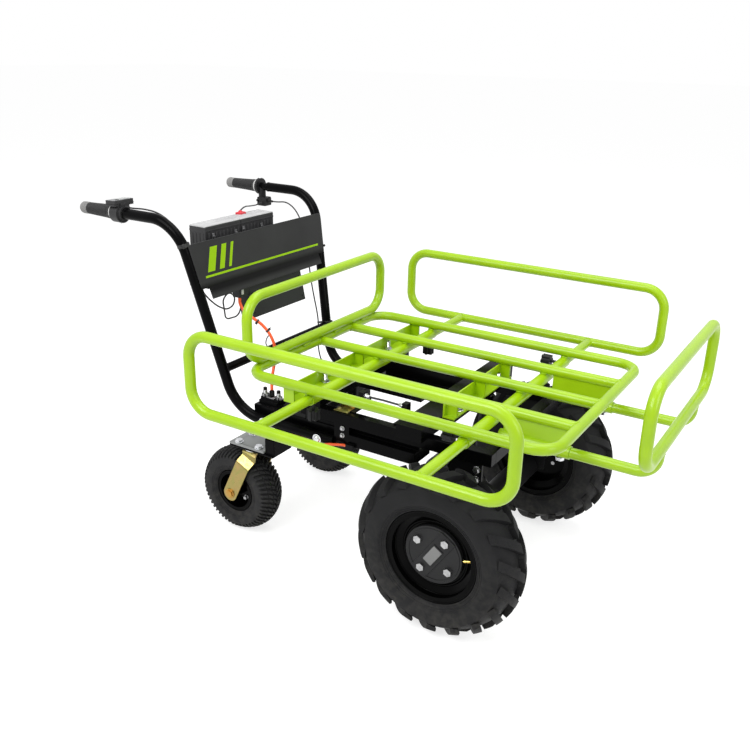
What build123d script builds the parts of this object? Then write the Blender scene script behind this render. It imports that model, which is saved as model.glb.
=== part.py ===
from build123d import *
import os
from math import atan2, cos, degrees, hypot, pi, radians, sin, sqrt, tan

# Four-wheeled electric barrow with an extendable tube bed.
# X points forward, Y to the left, Z up. Lengths are millimetres.
# Sizes along X are measured from the front axle, heights from the floor.
# The finished pieces are moved so that the origin lies under the middle of the whole barrow.

# Fits and gaps
running_gap = 0.05
arm_slack = 0.5
moving_gap = 0.5
bolt_slack = 0.1

# Green bed tube
tube_od = 25.0
tube_wall = 2.0
bed_length = 775.0
bed_width = 594.0
bed_stand = 83.0
bed_front = 237.5
bed_corner = 55.0
slat_spacing = 147.0
slat_od = 24.0

# Green hoops round the bed
hoop_corner = 55.0
arm_od = 24.0
side_hoop_inset = 2.5
side_hoop_height = 180.0
side_hoop_reach = 192.0
side_arm_length = 295.0
front_hoop_inset = 27.0
front_hoop_rise = 168.0
front_hoop_reach = 167.0
front_hoop_drop = 7.0
front_arm_length = 299.0
front_arm_bend = 40.0
rear_hoop_forward = 5.0
rear_hoop_rise = 157.5

# Sockets that the hoop arms slide in
socket_wall = 2.0
rear_socket_x = -354.0
front_socket_x = 43.5
front_socket_start = 61.0
front_socket_length = 164.0
front_socket_clear = 6.5
hanger_thickness = 6.0
hanger_inset = 9.0
set_bolt_inset = 22.0

# Clamp knobs
knob_diameter = 32.0
knob_height = 24.0
knob_stand = 16.0
knob_screw = 8.0
knob_inset = 18.0
knob_scallops = 6
knob_scallop_diameter = 9.0

# Brackets under the bed
bracket_depth = 30.0
bracket_plate = 4.0
rear_bracket_x = -426.0
front_bracket_x = -76.0
front_bracket_overhang = 14.0
rear_bolt_spread = 150.0
front_bolt_spread = 110.0

# Hexagon bolts
bolt_diameter = 10.0
bolt_head_width = 17.0
bolt_head_height = 7.0
stud_height = 16.0

# Black chassis
beam_clear = 15.0
beam_height = 30.0
beam_width = 25.0
beam_outer = 215.0
beam_front = 75.0
beam_wall = 3.0
rail_inner = 140.0
rail_rear = -602.0
rail_height = 42.0
rail_under = 12.0
side_box_rear = -296.0
side_box_front = -115.0
side_box_lift = 11.0
side_box_height = 29.0
web_plate = 6.0
rear_cross_width = 60.0
rear_cross_height = 36.0
front_cross_width = 65.0
front_cross_height = 32.0
front_cross_half = 250.0
front_ledge_depth = 35.0
nose_cross_width = 30.0

# Driven front wheels
half_track = 294.0
tyre_od = 410.0
tyre_width = 108.0
tread_drop = 25.0
lug_height = 15.0
lug_count = 18
lug_width = 24.0
lug_angle = 42.0
lug_root = 2.0
tyre_wall = 9.0
bead_radius = 101.5
rim_flange_radius = 112.5
rim_half_width = 41.0
rim_sheet = 3.0
rim_well_radius = 84.0
rim_well_half = 18.0
rim_web = 8.0
rim_web_offset = 10.0
hub_radius = 70.0
hub_thickness = 10.0
hub_barrel_radius = 27.0
hub_barrel_length = 52.0
wheel_bolt_circle = 48.5
wheel_bolt_turn = 53.5
wheel_bolt_count = 4
axle_diameter = 30.0

# Axle housing, motor and gears
housing_tube = 64.0
housing_clear = 15.0
gear_module = 3.0
ring_teeth = 63
pinion_teeth = 15
gear_width = 22.0
gear_backlash = 1.4
case_gap = 4.0
case_wall = 7.0
motor_back = 85.0
motor_diameter = 104.0
motor_length = 112.0
motor_wall = 5.0
rotor_core = 62.0
rotor_shaft = 14.0
hanger_half_width = 50.0
hanger_plate = 8.0
ring_hub_radius = 26.0
gear_offset = -150.0

# Swivel casters
caster_od = 238.0
caster_width = 85.0
caster_half_track = 196.5
caster_swivel_x = -603.0
caster_trail = 52.0
caster_rim_radius = 59.0
caster_bead_radius = 52.0
caster_tyre_wall = 8.0
caster_tread_drop = 16.0
caster_axle = 12.0
caster_hub_radius = 19.0
fork_gap = 5.0
fork_plate = 5.0
fork_crown = 6.0
fork_width = 44.0
fork_foot = 20.0
crown_gap = 6.0
race_radius = 32.0
race_height = 5.7
kingpin = 16.0
flange_plate = 6.0
caster_plate_thickness = 6.0
caster_plate_length = 115.0
caster_plate_width = 80.0
caster_bolt_x = 33.0
caster_bolt_y = 28.0
caster_beam_width = 30.0
caster_beam_share = 0.565
caster_beam_inset = 6.5
caster_post_width = 40.0

# Handle frame
handle_tube = 27.0
handle_wall = 2.5
handle_bend = 100.0
grip_bar = 22.0
grip_end = -1079.0
handle_top_x = -758.0
handle_top_y = 281.0
handle_top_rise = 417.0
handle_foot_x = -649.0
handle_foot_y = 213.0
handle_foot_drop = 78.0
handle_foot_end = -340.0
handle_bar_start = -928.0
crossbar_rise = 40.0
crossbar_od = 22.0
handle_bolt_rear = -551.0
handle_bolt_front = -382.0
handle_bolt_diameter = 12.0
handle_washer = 24.0
handle_washer_thickness = 2.5
handle_bolt_head = 6.0

# Grips and switches
grip_od = 33.0
grip_length = 96.0
grip_cap = 6.0
ring_length = 20.0
collar_od = 48.0
collar_length = 26.0
clamp_od = 36.0
clamp_length = 7.0
display_length = 34.0
display_width = 62.0
display_height = 14.0
display_tilt = 2.0
display_shift = 5.5
display_rise = 26.0
button_diameter = 10.0
button_height = 3.0
button_depth = 5.0
selector_collar_length = 8.0
selector_length = 34.0
selector_width = 26.0
selector_height = 26.0
selector_drop = 44.0
selector_shift = 10.0
toggle_pin = 6.0
toggle_width = 10.0
toggle_length = 14.0
toggle_slot = 16.0

# Panel, batteries and controller
panel_sheet = 2.0
panel_top_rise = 358.0
panel_fold_rise = 249.0
panel_lip = 30.0
panel_lip_angle = 10.0
panel_lip_inset = 26.0
tray_floor_rise = 228.0
tray_sheet = 3.0
tray_wall_height = 70.0
tray_slack = 2.0
tray_tongue_right = -140.0
battery_depth = 56.0
battery_length = 136.0
battery_height = 157.0
battery_front_x = -770.0
battery_right_y = -168.0
controller_width = 226.0
controller_height = 84.0
controller_depth = 44.0
controller_back = 9.5
controller_right_y = -89.0
controller_top_rise = 220.0
controller_tab = 24.0
controller_tab_inset = 40.0
connector_length = 24.0
connector_width = 38.0
connector_height = 22.0
connector_top_rise = 223.0
connector_sink = 2.0

# Leads and their clamps
lead_diameter = 4.0
motor_lead_diameter = 8.0
axle_lead_diameter = 6.5
brake_cable_diameter = 5.0
arc_share = 0.45
clamp_block_length = 58.0
clamp_block_width = 36.0
clamp_block_height = 6.0
clamp_bar_height = 6.0
clamp_bar_width = 22.0
clamp_bolt_inset = 7.0
clamp_x = -572.0
clamp_y = -163.0
gland_diameter = 14.0
gland_length = 18.0
gland_run = 34.0
gland_back = 22.0
gland_in = 27.0
gland_up = 26.0
clip_length = 20.0
clip_width = 20.0
clip_height = 12.0
rear_clip_x = -480.0
rear_clip_y = -160.0
front_clip_x = -290.0
front_clip_lift = 12.0
stop_width = 18.0
stop_length = 14.0
stop_height = 40.0
stop_rear_x = -300.0
stop_front_x = -178.0
stop_y = -150.0

# Places that follow from the sizes above: the beams clear the front tyres, the rest stands on the beams
tube_r = tube_od / 2
beam_top = tyre_od + beam_clear
bed_height = beam_top + bed_stand
handle_top_z = beam_top + handle_top_rise
handle_foot_z = beam_top - handle_foot_drop
crossbar_z = beam_top + crossbar_rise
panel_top_z = beam_top + panel_top_rise
panel_fold_z = beam_top + panel_fold_rise
tray_floor_z = beam_top + tray_floor_rise
controller_top_z = beam_top + controller_top_rise
connector_top_z = beam_top + connector_top_rise
bed_half = bed_width / 2
bed_rear = bed_front - bed_length
bed_middle = bed_front - bed_length / 2
bed_underside = bed_height - tube_r
slat_underside = bed_height - slat_od / 2
socket_bore = arm_od + 2 * arm_slack
socket_od = socket_bore + 2 * socket_wall
socket_z = bed_underside - socket_od / 2
front_socket_z = beam_top + front_socket_clear + socket_od / 2
front_socket_end = front_socket_start + front_socket_length
side_hoop_length = bed_length - 2 * side_hoop_inset
side_hoop_y = bed_half + side_hoop_reach
front_hoop_width = bed_width - 2 * front_hoop_inset
front_hoop_x = bed_front + front_hoop_reach
rear_cross_top = beam_top + rear_cross_height
front_cross_top = beam_top + front_cross_height
beam_bottom = beam_top - beam_height
handle_r = handle_tube / 2
beam_inner = beam_outer - beam_width
rail_outer = handle_foot_y - handle_r
rail_bottom = handle_foot_z - rail_under
rail_top = rail_bottom + rail_height
side_box_bottom = rail_bottom + side_box_lift
side_box_top = side_box_bottom + side_box_height
rear_bolt_x = rear_bracket_x + bracket_depth / 2
beam_rear = rear_bolt_x - rear_cross_width / 2
front_bolt_x = front_bracket_x + bracket_depth / 2
axle_z = tyre_od / 2
caster_axle_z = caster_od / 2
caster_axle_x = caster_swivel_x - caster_trail
crown_bottom = caster_od + crown_gap
crown_top = crown_bottom + fork_crown
flange_bottom = crown_top + race_height + moving_gap
flange_top = flange_bottom + flange_plate
caster_plate_rear = caster_swivel_x - caster_plate_length / 2
caster_plate_front = caster_swivel_x + caster_plate_length / 2
caster_plate_top = flange_top + caster_plate_thickness
caster_beam_height = caster_beam_share * (rail_bottom - flange_top)
caster_beam_half = caster_half_track + caster_plate_width / 2 - caster_beam_inset
handle_rise = hypot(handle_top_x - handle_foot_x, handle_top_z - handle_foot_z)
handle_lean = atan2(handle_foot_x - handle_top_x, handle_top_z - handle_foot_z)
gear_distance = gear_module * (ring_teeth + pinion_teeth) / 2
motor_x = -motor_back
motor_z = axle_z + sqrt(gear_distance**2 - motor_back**2)
housing_half = half_track - tyre_width / 2 - housing_clear
case_half = gear_width / 2 + case_gap + case_wall
grip_start = grip_end + grip_length
ring_end = grip_start + ring_length
collar_end = ring_end + collar_length
clamp_end = collar_end + clamp_length

# The middle of the whole length comes to X = 0
overall_rear = grip_end - grip_cap
overall_front = front_hoop_x + tube_r
to_origin = Pos(-(overall_rear + overall_front) / 2, 0, 0)
left_handed = Plane.XZ
from_base = (Align.CENTER, Align.CENTER, Align.MIN)
from_top = (Align.CENTER, Align.CENTER, Align.MAX)


def block(x_range, y_range, z_range):
    """A box between two corners."""
    sizes = [high - low for low, high in (x_range, y_range, z_range)]
    middle = [(low + high) / 2 for low, high in (x_range, y_range, z_range)]
    return Pos(*middle) * Box(*sizes)


def rod(start, end, diameter):
    """A solid round bar between two points."""
    run = Vector(*end) - Vector(*start)
    return Plane(origin=start, z_dir=run) * Cylinder(diameter / 2, run.length, align=from_base)


def pipe(start, end, outer, bore):
    """A round tube between two points."""
    return rod(start, end, outer) - rod(start, end, bore)


def bent_bar(points, bend, diameter):
    """A solid round bar along straight runs with bends between them."""
    path = FilletPolyline(*points, radius=bend)
    section = Plane(origin=path @ 0, z_dir=path % 0) * Circle(diameter / 2)
    return sweep(section, path=path)


def bent_tube(points, bend, outer, bore):
    """A round tube along straight runs with bends between them."""
    return bent_bar(points, bend, outer) - bent_bar(points, bend, bore)


def loop_bar(place, width, height, corner, diameter):
    """A closed loop of round bar with four rounded corners, on a plane."""
    corners = [(0, -height / 2), (width / 2, -height / 2), (width / 2, height / 2), (0, height / 2)]
    path = FilletPolyline(*corners, radius=corner)
    # The section's seam faces the inside of the loop, where nothing joins it
    section = Plane(origin=corners[0], x_dir=(0, 1, 0), z_dir=(1, 0, 0)) * Circle(diameter / 2)
    half = sweep(section, path=path)
    return place * (half + mirror(half, Plane.YZ))


def hex_bolt(place, shank_length, stud=0.0):
    """A hexagon bolt with its head on the plane and its shank below; stud is thread above the head."""
    head = extrude(RegularPolygon(bolt_head_width / 2, 6, major_radius=False), bolt_head_height)
    shank = Pos(0, 0, -shank_length) * Cylinder(
        bolt_diameter / 2, shank_length + bolt_head_height + stud, align=from_base
    )
    return place * (head + shank)


def bolt_hole(place, depth):
    """The hole that a bolt's shank passes through, below the plane."""
    return place * Pos(0, 0, -depth) * Cylinder(bolt_diameter / 2 + bolt_slack, depth, align=from_base)


def hollow(box_ranges, wall):
    """A square tube with closed ends."""
    inner = [(low + wall, high - wall) for low, high in box_ranges]
    return block(*box_ranges) - block(*inner)


def both_sides(shape):
    """A piece and its mirror image on the other side of the barrow."""
    return [shape, mirror(shape, left_handed)]


def save(name, *shapes):
    """Writes a node as one file, moved to the barrow's own origin."""
    solids = [to_origin * solid for shape in shapes for solid in shape.solids()]
    export_step(solids[0] if len(solids) == 1 else Compound(children=solids), f"parts/{name}.step")


def bed_loop_bar(diameter):
    """The bent bar round the bed."""
    place = Plane(origin=(bed_middle, 0, bed_height))
    return loop_bar(place, bed_length, bed_width, bed_corner, diameter)


def bed_slats():
    """Three tubes along the bed, their ends cut to the loop."""
    loop = bed_loop_bar(tube_od)
    slats = []
    for y in (-slat_spacing, 0, slat_spacing):
        slat = pipe((bed_rear, y, bed_height), (bed_front, y, bed_height), slat_od, slat_od - 2 * tube_wall)
        slats.append(max((slat - loop).solids(), key=lambda solid: solid.volume))
    return slats


def knob_place(side, front):
    """The plane of a clamp screw: origin on the socket's axis, normal along the screw, outwards."""
    y = side * (bed_half - knob_inset)
    if front:
        return Plane(origin=(front_socket_x, y, socket_z), z_dir=(-1, 0, 0))
    return Plane(origin=(rear_socket_x, y, socket_z), z_dir=(0, 0, -1))


def side_sockets():
    """Two tubes across the bed that take the side hoops' arms from both ends."""
    sockets = []
    for x, front in ((rear_socket_x, False), (front_socket_x, True)):
        socket = pipe((x, -bed_half, socket_z), (x, bed_half, socket_z), socket_od, socket_bore)
        for side in (-1, 1):
            hole = Cylinder(knob_screw / 2 + running_gap, socket_od, align=from_base)
            socket -= knob_place(side, front) * hole
        sockets.append(socket)
    return sockets


def clamp_knob(side, front):
    """A knob on a screw that presses on a hoop's arm."""
    tip = arm_od / 2 + moving_gap
    head = socket_od / 2 + knob_stand
    screw = Pos(0, 0, tip) * Cylinder(knob_screw / 2, head - tip + knob_height / 2, align=from_base)
    grip = Pos(0, 0, head) * Cylinder(knob_diameter / 2, knob_height, align=from_base)
    for spot in PolarLocations(knob_diameter / 2, knob_scallops):
        grip -= spot * Pos(0, 0, head) * Cylinder(knob_scallop_diameter / 2, knob_height, align=from_base)
    return knob_place(side, front) * (screw + grip)


def set_bolt_place(side):
    """The plane under a front socket where its set bolt's head seats."""
    x = front_socket_end - set_bolt_inset
    return Plane(origin=(x, side * slat_spacing, front_socket_z - socket_od / 2), z_dir=(0, 0, -1))


def front_hoop_sockets():
    """Two short tubes along the bed for the front hoop, each hung from a slat by a plate."""
    sockets = []
    for side in (-1, 1):
        y = side * slat_spacing
        ends = [(x, y, front_socket_z) for x in (front_socket_start, front_socket_end)]
        plate = block(
            (front_socket_start + hanger_inset, front_socket_end - hanger_inset),
            (y - hanger_thickness / 2, y + hanger_thickness / 2),
            (front_socket_z, slat_underside),
        )
        socket = rod(*ends, socket_od) + plate - rod(*ends, socket_bore)
        sockets.append(socket - bolt_hole(set_bolt_place(side), socket_wall + arm_slack + moving_gap))
    return sockets


def bed_bracket(x, half, gussets, bottom, bolts):
    """An angle across the bed with upright plates under the bed's tubes, each up to its own tube."""
    web = block((x, x + bracket_plate), (-half, half), (bottom, bed_underside))
    flange = block((x, x + bracket_depth), (-half, half), (bottom, bottom + bracket_plate))
    bracket = web + flange
    for y in gussets:
        bracket += block(
            (x, x + bracket_depth),
            (y - bracket_plate / 2, y + bracket_plate / 2),
            (bottom, bed_underside if abs(y) == bed_half else slat_underside),
        )
    for place in bolts:
        bracket -= bolt_hole(place, bracket_plate)
    return bracket


def bracket_bolt_places(x, spread, bottom):
    """The planes on a bracket's flange where its two bolts seat."""
    return [Plane(origin=(x, side * spread, bottom + bracket_plate)) for side in (-1, 1)]


def side_hoop(side):
    """A side hoop, with side 1 on the left and -1 on the right: a closed loop of tube on two arms."""
    bore = tube_od - 2 * tube_wall
    arm_bore = arm_od - 2 * tube_wall
    middle = (bed_middle, side * side_hoop_y, socket_z + side_hoop_height / 2)
    place = Plane(origin=middle, x_dir=(1, 0, 0), z_dir=(0, -1, 0))
    outside = loop_bar(place, side_hoop_length, side_hoop_height, hoop_corner, tube_od)
    hoop = outside - loop_bar(place, side_hoop_length, side_hoop_height, hoop_corner, bore)
    for x in (rear_socket_x, front_socket_x):
        arm_end = side * (side_hoop_y - side_arm_length)
        arm = pipe((x, side * side_hoop_y, socket_z), (x, arm_end, socket_z), arm_od, arm_bore)
        hoop += max((arm - outside).solids(), key=lambda solid: solid.volume)
    return hoop


def front_hoop():
    """The front hoop: a closed loop of tube on two arms that bend up to it."""
    bore = tube_od - 2 * tube_wall
    low = bed_height - front_hoop_drop
    middle = (front_hoop_x, 0, low + front_hoop_rise / 2)
    place = Plane(origin=middle, x_dir=(0, 1, 0), z_dir=(1, 0, 0))
    outside = loop_bar(place, front_hoop_width, front_hoop_rise, hoop_corner, tube_od)
    hoop = outside - loop_bar(place, front_hoop_width, front_hoop_rise, hoop_corner, bore)
    for y in (-slat_spacing, slat_spacing):
        route = [
            (front_hoop_x - front_arm_length, y, front_socket_z),
            (front_hoop_x, y, front_socket_z),
            (front_hoop_x, y, low),
        ]
        arm = bent_tube(route, front_arm_bend, arm_od, arm_od - 2 * tube_wall)
        hoop += max((arm - outside).solids(), key=lambda solid: solid.volume)
    return hoop


def rear_hoop():
    """The rear hoop, welded on top of the bed's rear tube."""
    foot_z = bed_height + sqrt(tube_od**2 - rear_hoop_forward**2)
    middle = (bed_rear + rear_hoop_forward, 0, foot_z + rear_hoop_rise / 2)
    place = Plane(origin=middle, x_dir=(0, 1, 0), z_dir=(1, 0, 0))
    outside = loop_bar(place, bed_width, rear_hoop_rise, hoop_corner, tube_od)
    return outside - loop_bar(place, bed_width, rear_hoop_rise, hoop_corner, tube_od - 2 * tube_wall)


def handle_bolt_place(x):
    """The plane on the outside of the right foot tube where a bolt's washer seats."""
    return Plane(origin=(x, -handle_foot_y - handle_r, handle_foot_z), z_dir=(0, -1, 0))


def handle_bolt_hole(x):
    """The hole for a handle bolt through the foot tube and the lower rail's outer wall."""
    depth = handle_tube + beam_wall
    return handle_bolt_place(x) * Pos(0, 0, -depth) * Cylinder(
        handle_bolt_diameter / 2 + bolt_slack, depth, align=from_base
    )


def handle_bolt(x):
    """A domed bolt with a wide washer."""
    depth = handle_tube + beam_wall
    washer = Cylinder(handle_washer / 2, handle_washer_thickness, align=from_base)
    head_radius = handle_washer / 2 - handle_washer_thickness
    ball = (head_radius**2 + handle_bolt_head**2) / (2 * handle_bolt_head)
    cap = Pos(0, 0, handle_bolt_head - ball) * Sphere(ball)
    above = Cylinder(handle_washer, handle_bolt_head, align=from_base)
    head = Pos(0, 0, handle_washer_thickness) * (cap & above)
    shank = Pos(0, 0, -depth) * Cylinder(
        handle_bolt_diameter / 2, depth + handle_washer_thickness, align=from_base
    )
    return handle_bolt_place(x) * (washer + head + shank)


def chassis_beam():
    """The right side of the chassis: a slim tube over a deep rail and a side box, with a web and a plate."""
    upper = hollow([(beam_rear, beam_front), (-beam_outer, -beam_inner), (beam_bottom, beam_top)], beam_wall)
    lower = hollow(
        [(rail_rear, side_box_rear), (-rail_outer, -rail_inner), (rail_bottom, rail_top)], beam_wall
    )
    box = hollow(
        [(side_box_rear, side_box_front), (-beam_outer, -rail_inner), (side_box_bottom, side_box_top)],
        beam_wall,
    )
    web = block(
        (beam_rear, side_box_front), (-beam_inner - web_plate, -beam_inner), (side_box_top, beam_bottom)
    )
    plate = block(
        (handle_foot_end + moving_gap, side_box_rear),
        (-beam_outer, web_plate - beam_outer),
        (side_box_bottom, beam_bottom),
    )
    beam = upper + lower + box + web + plate
    for x in (handle_bolt_rear, handle_bolt_front):
        beam -= handle_bolt_hole(x)
    return beam


def cross_beams(rear_bolts, front_bolts):
    """Square tubes across the chassis: two under the bed's brackets and one at the nose."""
    rear = hollow(
        [
            (beam_rear, beam_rear + rear_cross_width),
            (-beam_outer, beam_outer),
            (beam_top, rear_cross_top),
        ],
        beam_wall,
    )
    ledge_front = front_bracket_x + bracket_depth
    ledge_rear = ledge_front - front_ledge_depth
    front = hollow(
        [
            (ledge_rear - front_cross_width, ledge_rear),
            (-front_cross_half, front_cross_half),
            (beam_top, front_cross_top),
        ],
        beam_wall,
    )
    ledge_half = slat_spacing + front_bracket_overhang
    ledge_range = (front_cross_top - web_plate, front_cross_top)
    front += block((ledge_rear, ledge_front), (-ledge_half, ledge_half), ledge_range)
    nose = hollow(
        [(beam_front - nose_cross_width, beam_front), (-beam_inner, beam_inner), (beam_bottom, beam_top)],
        beam_wall,
    )
    for place in rear_bolts:
        rear -= bolt_hole(place, bracket_plate + beam_wall)
    for place in front_bolts:
        front -= bolt_hole(place, bracket_plate + beam_wall)
    return [rear, front, nose]


def caster_bolt_places():
    """The planes on the right caster plate where its four bolts seat."""
    return [
        Plane(origin=(caster_swivel_x + x, y - caster_half_track, caster_plate_top))
        for x in (-caster_bolt_x, caster_bolt_x)
        for y in (-caster_bolt_y, caster_bolt_y)
    ]


def caster_cross_beam():
    """The square tube that carries both casters, with its posts and flanges."""
    front = caster_plate_front + caster_beam_width
    beam = hollow(
        [
            (caster_plate_front, front),
            (-caster_beam_half, caster_beam_half),
            (flange_top, flange_top + caster_beam_height),
        ],
        beam_wall,
    )
    post_middle = (rail_inner + rail_outer) / 2
    post = block(
        (caster_plate_front, front),
        (-post_middle - caster_post_width / 2, caster_post_width / 2 - post_middle),
        (flange_top + caster_beam_height, rail_bottom),
    )
    flange = block(
        (caster_plate_rear, front),
        (-caster_half_track - caster_plate_width / 2, caster_plate_width / 2 - caster_half_track),
        (flange_bottom, flange_top),
    )
    flange -= Pos(caster_swivel_x, -caster_half_track, flange_bottom) * Cylinder(
        kingpin / 2 + running_gap, flange_plate, align=from_base
    )
    for place in caster_bolt_places():
        flange -= bolt_hole(place, caster_plate_thickness + flange_plate)
    for piece in both_sides(post) + both_sides(flange):
        beam += piece
    return beam


def caster_plate():
    """The grey plate bolted over the right caster's flange."""
    plate = block(
        (caster_plate_rear, caster_plate_front),
        (-caster_half_track - caster_plate_width / 2, caster_plate_width / 2 - caster_half_track),
        (flange_top, caster_plate_top),
    )
    for place in caster_bolt_places():
        plate -= bolt_hole(place, caster_plate_thickness)
    return plate


def tyre_outline(outer, width, drop, bead, neck, half_bead, shrink):
    """The named points of half a tyre's section as (offset along Y, 0, radius), drawn in by shrink."""
    foot = half_bead - shrink
    shoulder = outer - drop - shrink
    return {
        "bead": (foot, 0, bead),
        "neck": (foot, 0, neck),
        "belly": (width / 2 - shrink, 0, (neck + shoulder) / 2),
        "shoulder": (width / 2 - shrink - drop / 8, 0, shoulder),
        "crown": (0, 0, outer - shrink),
    }


def crown_arc(points):
    """The curve of the tread from the shoulder to the middle."""
    y, _, low = points["shoulder"]
    high = points["crown"][2]
    return ThreePointArc((y, 0, low), (y / 2, 0, high - (high - low) / 4), (0, 0, high))


def tyre_side(points):
    """The curve from the bead up the side wall and over the tread to the middle."""
    return [
        Line(points["bead"], points["neck"]),
        TangentArc(points["belly"], points["neck"], tangent=(0, 0, -1)),
        TangentArc(points["belly"], points["shoulder"], tangent=(0, 0, 1)),
        crown_arc(points),
    ]


def tyre_body(outer, width, drop, bead, neck, half_bead, wall):
    """A hollow tyre turned about Y, centred on the origin."""
    outside = tyre_outline(outer, width, drop, bead, neck, half_bead, 0)
    inside = tyre_outline(outer, width, drop, bead, neck, half_bead, wall)
    foot = Line(inside["bead"], outside["bead"])
    split = Line(outside["crown"], inside["crown"])
    half = make_face([foot, split] + tyre_side(outside) + tyre_side(inside))
    turned = revolve(Rot(0, 0, 90) * half, Axis.Y)
    return turned + mirror(turned, left_handed)


def lug_ring():
    """The ring of rubber between the carcass and the tops of the lugs, on the left half."""
    top = tyre_outline(
        tyre_od / 2, tyre_width, tread_drop, bead_radius, rim_flange_radius, rim_half_width - rim_sheet, 0
    )
    depth = lug_height + lug_root
    crown = crown_arc(top)
    floor = Pos(0, 0, -depth) * crown
    ends = [Line(end, (end[0], 0, end[2] - depth)) for end in (top["shoulder"], top["crown"])]
    return revolve(Rot(0, 0, 90) * make_face([crown, floor] + ends), Axis.Y)


def drive_tyre():
    """A front tyre with slanted lugs, turned about Y and centred on the origin."""
    carcass = tyre_body(
        tyre_od / 2 - lug_height,
        tyre_width,
        tread_drop,
        bead_radius,
        rim_flange_radius,
        rim_half_width - rim_sheet,
        tyre_wall,
    )
    reach = tyre_width / 2
    lean = reach * tan(radians(lug_angle))
    bar = Polyline(
        (-lug_width / 2, 0),
        (lug_width / 2, 0),
        (lug_width / 2 - lean, reach),
        (-lug_width / 2 - lean, reach),
        close=True,
    )
    base = tyre_od / 2 - lug_height - tread_drop - lug_root
    lug = extrude(Plane(origin=(0, 0, base)) * make_face(bar), tyre_od / 2 - base) & lug_ring()
    step = 360 / lug_count
    copies = []
    for i in range(lug_count):
        copies.append(Rot(0, i * step, 0) * lug)
        copies.append(Rot(0, (i + 1 / 2) * step, 0) * mirror(lug, left_handed))
    return carcass + copies


def turned_ring(points):
    """A ring turned about Y from an outline of (radius, offset along Y) points."""
    return revolve(make_face(Polyline(*[(r, y, 0) for r, y in points], close=True)), Axis.Y)


def drive_rim():
    """The left front rim: a well, two flanges and an upright web with bolt holes."""
    edge = rim_half_width
    seat = rim_half_width - rim_sheet
    well = rim_well_half
    outer = [
        (rim_flange_radius, edge),
        (rim_flange_radius, seat),
        (bead_radius, seat),
        (bead_radius, well + (bead_radius - rim_well_radius) / 2),
        (rim_well_radius, well),
    ]
    inner = [(r - rim_sheet, y) for r, y in outer[:1:-1]]
    half = outer + [(rim_well_radius, 0), (rim_well_radius - rim_sheet, 0)] + inner
    half.append((bead_radius - rim_sheet, edge))
    rim = turned_ring(half)
    rim += mirror(rim, left_handed)
    web_end = rim_web_offset + rim_web
    web = turned_ring(
        [
            (hub_barrel_radius + moving_gap, rim_web_offset),
            (rim_well_radius - rim_sheet / 2, rim_web_offset),
            (rim_well_radius - rim_sheet / 2, web_end),
            (hub_barrel_radius + moving_gap, web_end),
        ]
    )
    rim += web
    for place in wheel_bolt_places():
        rim -= bolt_hole(place, hub_thickness + rim_web)
    return rim


def wheel_bolt_places():
    """The planes on the outer face of the left hub where its bolts seat."""
    face = rim_web_offset + rim_web + hub_thickness
    places = []
    for i in range(wheel_bolt_count):
        turn = radians(wheel_bolt_turn + i * 360 / wheel_bolt_count)
        spot = (wheel_bolt_circle * cos(turn), face, wheel_bolt_circle * sin(turn))
        places.append(Plane(origin=spot, z_dir=(0, 1, 0)))
    return places


def drive_hub():
    """The left hub: a disc outside the rim's web and a barrel on the shaft."""
    web_end = rim_web_offset + rim_web
    face = web_end + hub_thickness
    hub = rod((0, web_end, 0), (0, face, 0), 2 * hub_radius)
    hub += rod((0, face - hub_barrel_length, 0), (0, face, 0), 2 * hub_barrel_radius)
    hub -= rod((0, face - hub_barrel_length, 0), (0, face - bracket_plate, 0), axle_diameter)
    for place in wheel_bolt_places():
        hub -= bolt_hole(place, hub_thickness)
    return hub


def axle_shaft():
    """The left shaft, from the hub to just short of the middle of the axle."""
    face = rim_web_offset + rim_web + hub_thickness
    return rod((0, moving_gap - half_track, 0), (0, face - bracket_plate, 0), axle_diameter)


def gear(teeth, turn):
    """A spur gear blank with straight-sided teeth, in the XZ plane and centred on the origin."""
    pitch = gear_module * teeth / 2
    tip = pitch + gear_module
    root = pitch - 1.25 * gear_module
    half = pi * gear_module / 4 - gear_backlash / 2
    slope = tan(radians(20))
    sunk = root - gear_module / 2
    wide = half + (pitch - sunk) * slope
    narrow = half - (tip - pitch) * slope
    tooth = make_face(Polyline((sunk, -wide), (tip, -narrow), (tip, narrow), (sunk, wide), close=True))
    outline = Circle(root)
    outline += [Rot(0, 0, turn + i * 360 / teeth) * tooth for i in range(teeth)]
    return extrude(Plane.XZ * outline, gear_width / 2, both=True)


def gear_line():
    """The angle of the line from the axle to the motor, in the XZ plane."""
    return degrees(atan2(motor_z - axle_z, motor_x))


def ring_gear():
    """The large gear on the right shaft, with its hub."""
    blank = gear(ring_teeth, gear_line())
    hub = rod((0, -case_half, 0), (0, case_half, 0), 2 * ring_hub_radius)
    bore = rod((0, -case_half, 0), (0, case_half, 0), axle_diameter + 2 * running_gap)
    return Pos(0, gear_offset, axle_z) * (blank + hub - bore)


def motor_rotor():
    """The motor's core and shaft with the pinion on its end."""
    pinion = gear(pinion_teeth, gear_line() + 180 + 180 / pinion_teeth)
    far = case_half + motor_length - motor_wall - moving_gap
    shaft = rod((0, -gear_width / 2, 0), (0, far, 0), rotor_shaft)
    core = rod((0, case_half + motor_wall * 4, 0), (0, far - motor_wall * 4, 0), rotor_core)
    return Pos(motor_x, gear_offset, motor_z) * (pinion + shaft + core)


def gear_room(extra):
    """The space round both gears, grown by extra."""
    ring_tip = gear_module * (ring_teeth / 2 + 1) + extra
    pinion_tip = gear_module * (pinion_teeth / 2 + 1) + extra
    half = gear_width / 2 + extra
    room = rod((0, -half, axle_z), (0, half, axle_z), 2 * ring_tip)
    room += rod((motor_x, -half, motor_z), (motor_x, half, motor_z), 2 * pinion_tip)
    return Pos(0, gear_offset, 0) * room


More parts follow.
